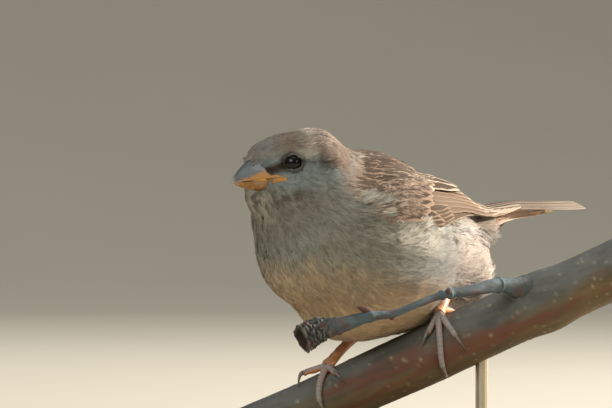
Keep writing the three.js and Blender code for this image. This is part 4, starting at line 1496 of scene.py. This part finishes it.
def make_feet():
    """Make the shanks, the toes with their scales and pads, and the claws."""
    leg, toe_top_and_highlight, claw = (tone(name) for name in ("leg", "toe", "claw"))
    scales = bare_skin("leg_scales", 0.35, 0.5, 1500.0, 0.1)
    horn = bare_skin("claw_horn", 0.15, 0.3, 1200.0, 0.3)
    for side, foot in FEET.items():
        at, turn = foot["joint"]
        joint = by_perch(at, math.radians(turn), perch_radius(at) + 1.6)
        ankle = np.array(foot["ankle"], float)
        bend = (joint + ankle) / 2 + np.array([-0.4, -0.4, 0.5])
        path = spline([joint, bend, ankle + (ankle - joint) * 0.12], 90)
        share = np.linspace(0, 1, 90)
        girth = 1.3 + 0.4 * (2 * share - 1) ** 4
        ups = np.tile(turned(BODY, np.array([1.0, 0, 0.2])), (90, 1))
        plate = plates(1 - share, SHANK_PLATES)
        points, faces, rise, run = limb(path, ups, girth * 0.86, girth * (1 + 0.09 * plate), girth * 1.02)
        seams = (1 - plates(1 - run, SHANK_PLATES)) * smooth(0, 0.5, rise)
        # the top of the shank partly blue-grey: partly the scales' own grey, partly a painted highlight from
        # above
        tint = blend(leg, toe_top_and_highlight, 0.35 * smooth(0.1, 0.9, rise)) * (1 - 0.28 * seams)[:, None]
        piece = mesh_piece(f"shank_{side}", points, faces, scales, "leg_skin", tint)
        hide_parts(f"tarsus_{side}")
        for name in ("inner", "middle", "outer", "hind"):
            stops = np.array([(at, turn, 1.6), *foot[name]])
            fine = np.linspace(0, len(stops) - 1, 240)
            x, angle, height = (stations(np.arange(len(stops)), stops[:, k], fine) for k in range(3))
            angle = np.radians(angle)
            centre = by_perch(x, angle, perch_radius(x) + height)
            out = by_perch(x, angle, 1.0) - by_perch(x, 0 * angle, 0.0)
            run = np.concatenate([[0], np.cumsum(np.linalg.norm(np.diff(centre, axis=0), axis=1))])
            end = run[-1] - CLAW_LENGTH

            def along(distance):
                return (np.stack([np.interp(distance, run, line[:, k]) for k in range(3)], 1)
                        for line in (centre, out))

            share = np.linspace(0, 1, 80)
            path, ups = along(0.4 + (end + 0.5 - 0.4) * share)
            scutes = max(int(round(end / 1.15)), 4)
            pads = 0.1 * np.cos(share * math.pi * 2 * (3 if name == "middle" else 2)) + 0.02
            slim, round_end = 1.02 - 0.24 * share, np.sqrt(np.clip((1 - share) / 0.06, 0.12, 1))
            points, faces, rise, far = limb(
                path, ups, slim * 0.92 * round_end, slim * (0.94 + 0.1 * plates(share, scutes)) * round_end,
                slim * (1 + pads) * round_end)
            # the tops of the toes blue-grey: partly the scales' own grey, partly a painted highlight from
            # above
            tint = blend(leg, toe_top_and_highlight, smooth(-0.2, 0.55, rise) * 0.85)
            tint = tint * (1 - 0.2 * (1 - plates(far, scutes)) * smooth(0, 0.5, rise))[:, None]
            piece = mesh_piece(f"toe_skin_{side}_{name}", points, faces, scales, "leg_skin", tint)
            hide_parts(f"toe_{side}_{name}")

            share = np.linspace(0, 1, 40)
            path, ups = along(end - 0.35 + (CLAW_LENGTH + 0.35) * share)
            path = path + unit(ups) * (0.62 * np.sin(math.pi * share**0.9) - 0.1 * share)[:, None]
            taper = 0.66 * (1 - share**1.5) + 0.07
            points, faces, rise, far = limb(path, ups, taper * 0.72, taper, taper * 0.9, 20)
            tint = blend(claw * 1.25, claw * 0.55, smooth(0.2, 1, far))
            piece = mesh_piece(f"claw_tip_{side}_{name}", points, faces, horn, "claw_horn", tint)
            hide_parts(f"claw_{side}_{name}")


# ---------- branch, twig and stand ----------

TWIG_POINTS = ((37, -1, 62), (26, -11.4, 64.2), (17.4, -18.5, 62.6), (12, -21.5, 62), (4.8, -25.5, 59.6),
               (-2.3, -28, 56.9), (-9.2, -30, 56), (-16.3, -31, 53.9), (-23.6, -31.4, 51.9),
               (-26.6, -32.8, 50.4))
# share of the way along, height and width of each ring, then share, turn, size and length of each bud
TWIG_NODES = ((0.425, 0.45, 0.008), (0.455, 0.4, 0.007), (0.74, 0.3, 0.012), (0.2, 0.3, 0.006),
              (0.86, 0.4, 0.008))
TWIG_BUDS = ((0.735, 1.5, 0.85, 4.6), (0.66, -1.6, 0.7, 1.3), (0.43, 2.6, 0.7, 1.2),
             (0.93, -1.2, 0.9, 2.2), (0.96, 1.9, 1.0, 2.4), (0.9, 2.6, 0.8, 2.0))
PORES = 280


def with_cut_ends(rings, bevel, inner=12, hollow=0.0):
    """Rings closed by a softened edge and sawn faces, and how much each ring is cut wood: 0 on the bark."""
    steps = [(1.0, 0.0), (1 - bevel, 0.35)]
    steps += [(s, 0.35 - hollow * smooth(0.75, 0.3, s)) for s in np.linspace(1 - bevel * 1.6, 0.03, inner)]
    cut = [0.0, 0.6] + [1.0] * inner

    def cap(ring, towards):
        centre = ring.mean(0)
        return [centre + (ring - centre) * size + towards * out for size, out in steps]

    end = unit(rings[-1].mean(0) - rings[-2].mean(0))
    stack = np.concatenate([cap(rings[0], end * 0)[::-1], rings, cap(rings[-1], end)])
    return stack, np.concatenate([cut[::-1], np.zeros(len(rings)), cut])


def bark_material(name, bump, shine):
    """Bark with a grain along the branch."""

    def wires(at):
        grain = at.noise(420.0, 5.0, 0.65, stretch=(0.35, 1, 1), turn=(0, math.radians(PERCH_RISE), 0))
        fine = at.noise(2300.0, 4.0, 0.6)
        colour = at.attribute("tint").shade(0.7 + grain * 0.4 + fine * 0.2)
        return {"Base Color": colour, "Height": (bump, 0.0006, grain * 0.7 + fine * 0.3),
                "Roughness": 0.55 + fine * 0.35}

    return finish(name, wires, {"Specular IOR Level": shine})


def make_branch():
    """Make the branch with its bark's relief, pores, the collar at the twig, and sawn ends."""
    rng = np.random.default_rng(11)
    rows, sides = 300, 110
    x, turn = np.linspace(PERCH_FROM, PERCH_TO, rows)[:, None], around(sides)[None]
    place = np.stack([x + 0 * turn, 9 * np.cos(turn) + 0 * x, 9 * np.sin(turn) + 0 * x], -1)

    def patches(along, scale, seed, octaves=3):
        return waves(place * [along, 1, 1], scale, seed, octaves)

    relief = bpy.context.scene.sparrow_perch.relief / MM
    height = relief * (0.8 * patches(0.35, 9, 21, 2) + 0.25 * patches(0.8, 3, 22))
    tint = np.tile(tone("bark"), (rows, sides, 1)) * (1 + 0.16 * patches(0.5, 12, 23, 4))[..., None]
    low = -np.cos(turn) + 0.3 * patches(0.3, 16, 24)
    bark_low = tone("bark_low") * (1 + 0.2 * patches(0.3, 6, 27))[..., None]
    tint = blend(tint, bark_low, smooth(-0.45, 0.3, low))
    red = smooth(-0.4, 0.0, low) * smooth(0.95, 0.5, low) * smooth(-0.1, 0.45, patches(0.2, 9, 25))
    tint = blend(tint, tone("bark_red"), red * 0.55)
    tint = blend(tint, tone("bark_dark"), smooth(0.35, 0.8, patches(0.35, 5, 26)) * 0.35)
    for _ in range(PORES):
        at, angle = rng.uniform(PERCH_FROM, PERCH_TO), rng.uniform(0, 2 * math.pi)
        long, wide = rng.uniform(0.2, 0.5), rng.uniform(0.2, 0.55)
        gap = (turn - angle + math.pi) % (2 * math.pi) - math.pi
        spot = hump((x - at) / long, gap * PERCH_RADIUS / wide)
        height = height + 0.12 * spot
        tint = blend(tint, tone("pore"), spot * rng.uniform(0.2, 0.8))
    collar = hump((x - 37.5) / 5.5, ((turn - 0.5 + math.pi) % (2 * math.pi) - math.pi) / 0.75)
    creases = np.sin(2.6 * (x + 1.6 * np.cos(turn * 2) + 1.2 * waves(place, 4, 28, 2)))
    height = height + collar * (0.9 + 0.3 * creases)
    # painted shade in the troughs of the collar's creases
    tint = blend(tint, tone("bark_dark"), collar * smooth(-0.2, -0.9, creases) * 0.9)
    stack, cuts = with_cut_ends(by_perch(x, turn, perch_radius(x) + height), 0.05)
    points, faces = loft(stack)
    piece = mesh_piece("branch_bark", points, facing_out(points, faces),
                       bark_material("branch_bark", 0.3, 0.4), "bark", wood_ends(tint, cuts, tone("wood")))
    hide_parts("perch_branch")


def wood_ends(tint, cuts, wood):
    """Bark tints with wood and growth rings on the cut faces."""
    rows = np.zeros((len(cuts), tint.shape[1], 3))
    lead = int(np.argmax(cuts == 0))
    rows[lead:lead + len(tint)] = tint
    rows[:lead], rows[lead + len(tint):] = tint[0], tint[-1]
    for i, cut in enumerate(cuts):
        if cut > 0:
            rows[i] = rows[i] * (1 - cut) + wood * (0.82 + 0.2 * math.sin(i * 2.1)) * cut
    return np.concatenate([rows.reshape(-1, 3), [wood * 0.6, wood * 0.6]])


def make_twig():
    """Make the dry twig with its rings, buds and knob."""
    rows, sides = 320, 44
    path = spline(TWIG_POINTS, rows)
    share, turn = np.linspace(0, 1, rows), around(sides)
    girth = stations((0, 0.06, 0.12, 0.25, 0.8, 0.9, 1), (4.6, 3.7, 2.5, 1.8, 1.75, 2.7, 3.9), share)
    for at, high, wide in TWIG_NODES:
        girth = girth + high * hump((share - at) / wide)
    flat = 0 * share[:, None]
    place = np.stack([share[:, None] * 75 + 0 * turn, 3 * np.cos(turn) + flat, 3 * np.sin(turn) + flat], -1)

    def patches(along, scale, seed, octaves=3):
        return waves(place * [along, 1, 1], scale, seed, octaves)

    knob, root = smooth(0.86, 0.92, share)[:, None], smooth(0.15, 0.09, share)[:, None]
    folds = np.sin(place[..., 0] * 3.6 + 4.5 * waves(place, 4, 35, 3) + 0.8 * np.sin(2 * turn))
    bumps = 1 + (0.06 + 0.16 * knob) * patches(0.5, 3.4, 31, 4) + (0.07 * knob + 0.035 * root) * folds
    side, rise = ring_frames(path)
    circle = side[:, None] * np.cos(turn)[None, :, None] + rise[:, None] * np.sin(turn)[None, :, None]
    rings = path[:, None] + circle * (girth[:, None] * bumps)[..., None]
    tint = np.tile(tone("twig"), (rows, sides, 1)) * (1 + 0.2 * patches(0.4, 6, 32, 4))[..., None]
    dark = tone("bark_dark")
    for colour, mask in (
            (dark, smooth(0.1, 0.6, patches(0.7, 4, 33)) * 0.6),
            (dark * 0.8, (smooth(0.82, 0.93, share) * 0.6)[:, None]),
            (tone("bark"), root * 0.7),
            # painted shade in the grooves between the folds at the knob and the twig's root
            (dark * 0.35, (knob + 0.35 * root) * smooth(0.1, -0.8, folds) * 0.9),
            # painted highlight on the crests of the knob's folds, in the pore colour
            (tone("pore"), knob * smooth(0.5, 1.0, folds) * 0.35),
            (tone("bark_red"), smooth(0.2, 0.7, waves(place, 9, 34, 2)) * 0.3)):
        tint = blend(tint, colour, mask)
    stack, cuts = with_cut_ends(rings, 0.2, 14, 1.6)
    points, faces = loft(stack)
    parts = [(points, facing_out(points, faces))]
    tints = [wood_ends(tint, cuts, tone("wood") * 0.14)]
    t = np.linspace(0, 1, 24)
    swell = np.sqrt(np.clip(1 - t**1.6, 0.003, 1)) * (0.75 + 0.45 * np.sin(math.pi * t))
    for at, angle, size, long in TWIG_BUDS:
        i = int(at * (rows - 1))
        out = side[i] * math.cos(angle) + rise[i] * math.sin(angle)
        heading = unit(path[min(i + 3, rows - 1)] - path[i - 3])
        way = unit(out * 0.5 + heading)
        line = path[i] + out * girth[i] * 0.7 + way * np.linspace(0, long, 24)[:, None]
        parts.append(tube(line, size * swell, 18))
        tints.append(np.tile(blend(dark, tone("bark_red"), 0.35), (len(parts[-1][0]), 1)))
    points, faces = joined(parts)
    piece = mesh_piece("twig_bark", points, faces, bark_material("twig_bark", 0.65, 0.25), "bark",
                       np.concatenate(tints))
    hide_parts("perch_twig")


def make_stand():
    """Give the stand's solids their hardwood and brass."""
    colour = tone("stand")

    def wood(at):
        grain = at.noise(70.0, 6.0, 0.7, stretch=(0.12, 1, 1))
        pores = at.noise(1500.0, 3.0, 0.6, stretch=(0.08, 1, 1))
        tint = grain.step(0.3, 0.7).mixed((*colour * 0.55, 1), (*colour * 1.5, 1))
        return {"Base Color": tint.shade(0.75 + pores * 0.4), "Height": (0.2, 0.0003, pores),
                "Roughness": 0.3 + pores * 0.2}

    def metal(at):
        drawn = at.noise(900.0, 4.0, 0.6, stretch=(1, 1, 0.02))
        age = at.noise(160.0, 4.0)
        tint = age.step(0.35, 0.75).mixed((0.62, 0.55, 0.42, 1), (0.42, 0.36, 0.26, 1))
        return {"Base Color": tint.shade(0.85 + drawn * 0.3), "Height": (0.12, 0.0002, drawn),
                "Roughness": 0.22 + drawn * 0.2}

    clad("stand_base", finish("stand_hardwood", wood, {"Coat Weight": 0.35, "Coat Roughness": 0.2}))
    brass = finish("stand_brass", metal, {"Metallic": 1.0})
    for side in ("left", "right"):
        clad(f"stand_rod_{side}", brass)


def clad(name, material):
    """Give one of the solids a material."""
    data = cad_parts[name].data
    data.materials.clear()
    data.materials.append(material)


def clothe_hidden_nodes():
    """Solids that pieces stand for keep a plain finish of their own."""
    spare = bark_material("spare_finish", 0.3, 0.3)
    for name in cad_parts:
        if not name.startswith("stand_"):
            clad(name, spare)


# ---------- stage ----------


def make_stage():
    """Lay the sweep, hang the lamps, set the sky and the colours' display, and set up the camera."""
    stage, scene = bpy.context.scene.sparrow_stage, bpy.context.scene

    def paper(at):
        cloud = at.noise(3.0, 3.0)
        floor, darker = (*stage.floor[:], 1), (*[0.96 * c for c in stage.floor], 1)
        return {"Base Color": cloud.step(0.2, 0.8).mixed(floor, darker), "Roughness": 0.8 + cloud * 0.1}

    bend = np.linspace(0.1, math.pi / 2, 24)
    radius = np.concatenate([np.linspace(0.02, 3.2, 12), 3.2 + 3 * np.sin(bend)])
    rise = np.concatenate([np.zeros(12), 3 * (1 - np.cos(bend))]) - 0.0002
    turn = around(96)
    rings = np.stack([radius[:, None] * np.cos(turn), radius[:, None] * np.sin(turn),
                      rise[:, None] + 0 * turn], -1)
    mesh = bpy.data.meshes.new("sweep")
    points = np.concatenate([rings.reshape(-1, 3), [[0, 0, rise[0]]]])
    middle_fan = [(len(points) - 1, k, (k + 1) % 96) for k in range(96)]
    faces = [tuple(face) for face in grid_faces(len(radius), 96, True)[:, ::-1].tolist()] + middle_fan
    mesh.from_pydata(points.tolist(), [], faces)
    mesh.polygons.foreach_set("use_smooth", [True] * len(mesh.polygons))
    mesh.materials.append(finish("stage_paper", paper, {}))
    sweep = bpy.data.objects.new("stage_sweep", mesh)
    scene.collection.objects.link(sweep)

    def lamp(name, at, to, size, watts, colour):
        data = bpy.data.lights.new(name, "AREA")
        data.shape, data.size, data.energy, data.color = "DISK", size, watts, colour
        light = bpy.data.objects.new(name, data)
        light.location = at
        light.rotation_euler = (Vector(to) - Vector(at)).to_track_quat("-Z", "Y").to_euler()
        scene.collection.objects.link(light)

    middle = (-0.01, 0, 0.08)
    lamp("key_sun", (1.75, 0.66, 0.84), middle, 0.3, 122, (1.0, 0.91, 0.82))
    lamp("soft_front", (-0.9, -1.7, 1.4), middle, 1.3, 21, (1.0, 0.98, 0.96))
    lamp("soft_top", (0.1, 0.2, 2.4), middle, 2.4, 29, (1.0, 0.99, 0.97))
    lamp("catch_light", (1.4, -1.1, 0.9), middle, 0.3, 2.5, (1.0, 0.99, 0.98))
    lamp("backdrop_glow", (0, 1.2, 1.9), (0, 6.0, 0.9), 1.5, 34, (1.0, 0.97, 0.88))
    world = bpy.data.worlds.new("studio")
    world.use_nodes = True
    sky = world.node_tree.nodes["Background"]
    sky.inputs["Color"].default_value = (0.80, 0.83, 0.86, 1)
    sky.inputs["Strength"].default_value = 0.27
    scene.world = world
    scene.view_settings.view_transform = "Standard"

    lens = bpy.data.cameras.new("camera")
    lens.sensor_width = 36
    lens.lens = 36 * stage.distance / stage.width
    lens.clip_start, lens.clip_end = 0.05, 60
    camera = bpy.data.objects.new("camera", lens)
    camera.location = (-0.0255, -stage.distance, 0.086)
    camera.rotation_euler = (math.pi / 2, 0, 0)
    scene.collection.objects.link(camera)
    scene.camera = camera


# ---------- operators, panel and main ----------


class SPARROW_OT_stage(bpy.types.Operator):
    """Lay the floor, hang the lamps and set up the camera"""

    bl_idname = "sparrow.stage"
    bl_label = "Stage"

    def execute(self, context):
        make_stage()
        return {"FINISHED"}


class SPARROW_OT_stand(bpy.types.Operator):
    """Finish the display stand's wood and brass"""

    bl_idname = "sparrow.stand"
    bl_label = "Stand"

    def execute(self, context):
        clothe_hidden_nodes()
        make_stand()
        return {"FINISHED"}


class SPARROW_OT_branch(bpy.types.Operator):
    """Make the branch's bark, pores and sawn ends"""

    bl_idname = "sparrow.branch"
    bl_label = "Branch"

    def execute(self, context):
        make_branch()
        return {"FINISHED"}


class SPARROW_OT_twig(bpy.types.Operator):
    """Make the dry side twig with its rings, buds and knob"""

    bl_idname = "sparrow.twig"
    bl_label = "Twig"

    def execute(self, context):
        make_twig()
        return {"FINISHED"}


class SPARROW_OT_feet(bpy.types.Operator):
    """Make the shanks, toes and claws"""

    bl_idname = "sparrow.feet"
    bl_label = "Legs and feet"

    def execute(self, context):
        make_feet()
        return {"FINISHED"}


class SPARROW_OT_bill(bpy.types.Operator):
    """Make both halves of the bill and the soft corner of the mouth"""

    bl_idname = "sparrow.bill"
    bl_label = "Bill"

    def execute(self, context):
        make_bill()
        return {"FINISHED"}


class SPARROW_OT_eyes(bpy.types.Operator):
    """Make the eyeballs"""

    bl_idname = "sparrow.eyes"
    bl_label = "Eyes"

    def execute(self, context):
        make_eyes()
        return {"FINISHED"}


class SPARROW_OT_skin(bpy.types.Operator):
    """Make one skin over head, neck, trunk, thighs and arms, with its eyelids"""

    bl_idname = "sparrow.skin"
    bl_label = "Skin"

    def execute(self, context):
        make_skin()
        return {"FINISHED"}


class SPARROW_OT_coat(bpy.types.Operator):
    """Lay the small feathers over the skin"""

    bl_idname = "sparrow.coat"
    bl_label = "Coat"

    def execute(self, context):
        make_coat()
        return {"FINISHED"}


class SPARROW_OT_wings(bpy.types.Operator):
    """Lay the rows of feathers on both folded wings"""

    bl_idname = "sparrow.wings"
    bl_label = "Wings"

    def execute(self, context):
        for side, name in ((1, "left"), (-1, "right")):
            pieces = make_wing(side, f"wing_{name}_feathers")
            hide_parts(f"wing_{name}_secondaries", f"wing_{name}_primaries")
        return {"FINISHED"}


class SPARROW_OT_tail(bpy.types.Operator):
    """Lay the twelve tail feathers"""

    bl_idname = "sparrow.tail"
    bl_label = "Tail"

    def execute(self, context):
        make_tail()
        return {"FINISHED"}


OPERATORS = (
    SPARROW_OT_stage, SPARROW_OT_stand, SPARROW_OT_branch, SPARROW_OT_twig, SPARROW_OT_feet, SPARROW_OT_bill,
    SPARROW_OT_eyes, SPARROW_OT_skin, SPARROW_OT_coat, SPARROW_OT_wings, SPARROW_OT_tail,
)
SETTINGS = {
    "sparrow_plumage": SPARROW_PG_plumage,
    "sparrow_bare": SPARROW_PG_bare,
    "sparrow_perch": SPARROW_PG_perch,
    "sparrow_stage": SPARROW_PG_stage,
}


class SPARROW_PT_maker(bpy.types.Panel):
    """Sizes, colours and makers of the sparrow"""

    bl_idname = "SPARROW_PT_maker"
    bl_label = "Sparrow"
    bl_space_type = "VIEW_3D"
    bl_region_type = "UI"
    bl_category = "Sparrow"

    def draw(self, context):
        for operator in OPERATORS:
            self.layout.operator(operator.bl_idname)
        for key, group in SETTINGS.items():
            box = self.layout.box()
            for prop in group.__annotations__:
                box.prop(getattr(context.scene, key), prop)


def register():
    """Add the settings, operators and panel."""
    for group in SETTINGS.values():
        bpy.utils.register_class(group)
    for key, group in SETTINGS.items():
        setattr(bpy.types.Scene, key, bpy.props.PointerProperty(type=group))
    for made in (*OPERATORS, SPARROW_PT_maker):
        bpy.utils.register_class(made)


def unregister():
    """Take them away again."""
    for made in reversed((*OPERATORS, SPARROW_PT_maker)):
        bpy.utils.unregister_class(made)
    for key in SETTINGS:
        delattr(bpy.types.Scene, key)
    for group in SETTINGS.values():
        bpy.utils.unregister_class(group)


def main():
    """Make everything."""
    register()
    for operator in OPERATORS:
        family, name = operator.bl_idname.split(".")
        getattr(getattr(bpy.ops, family), name)()


if __name__ == "__main__":
    main()
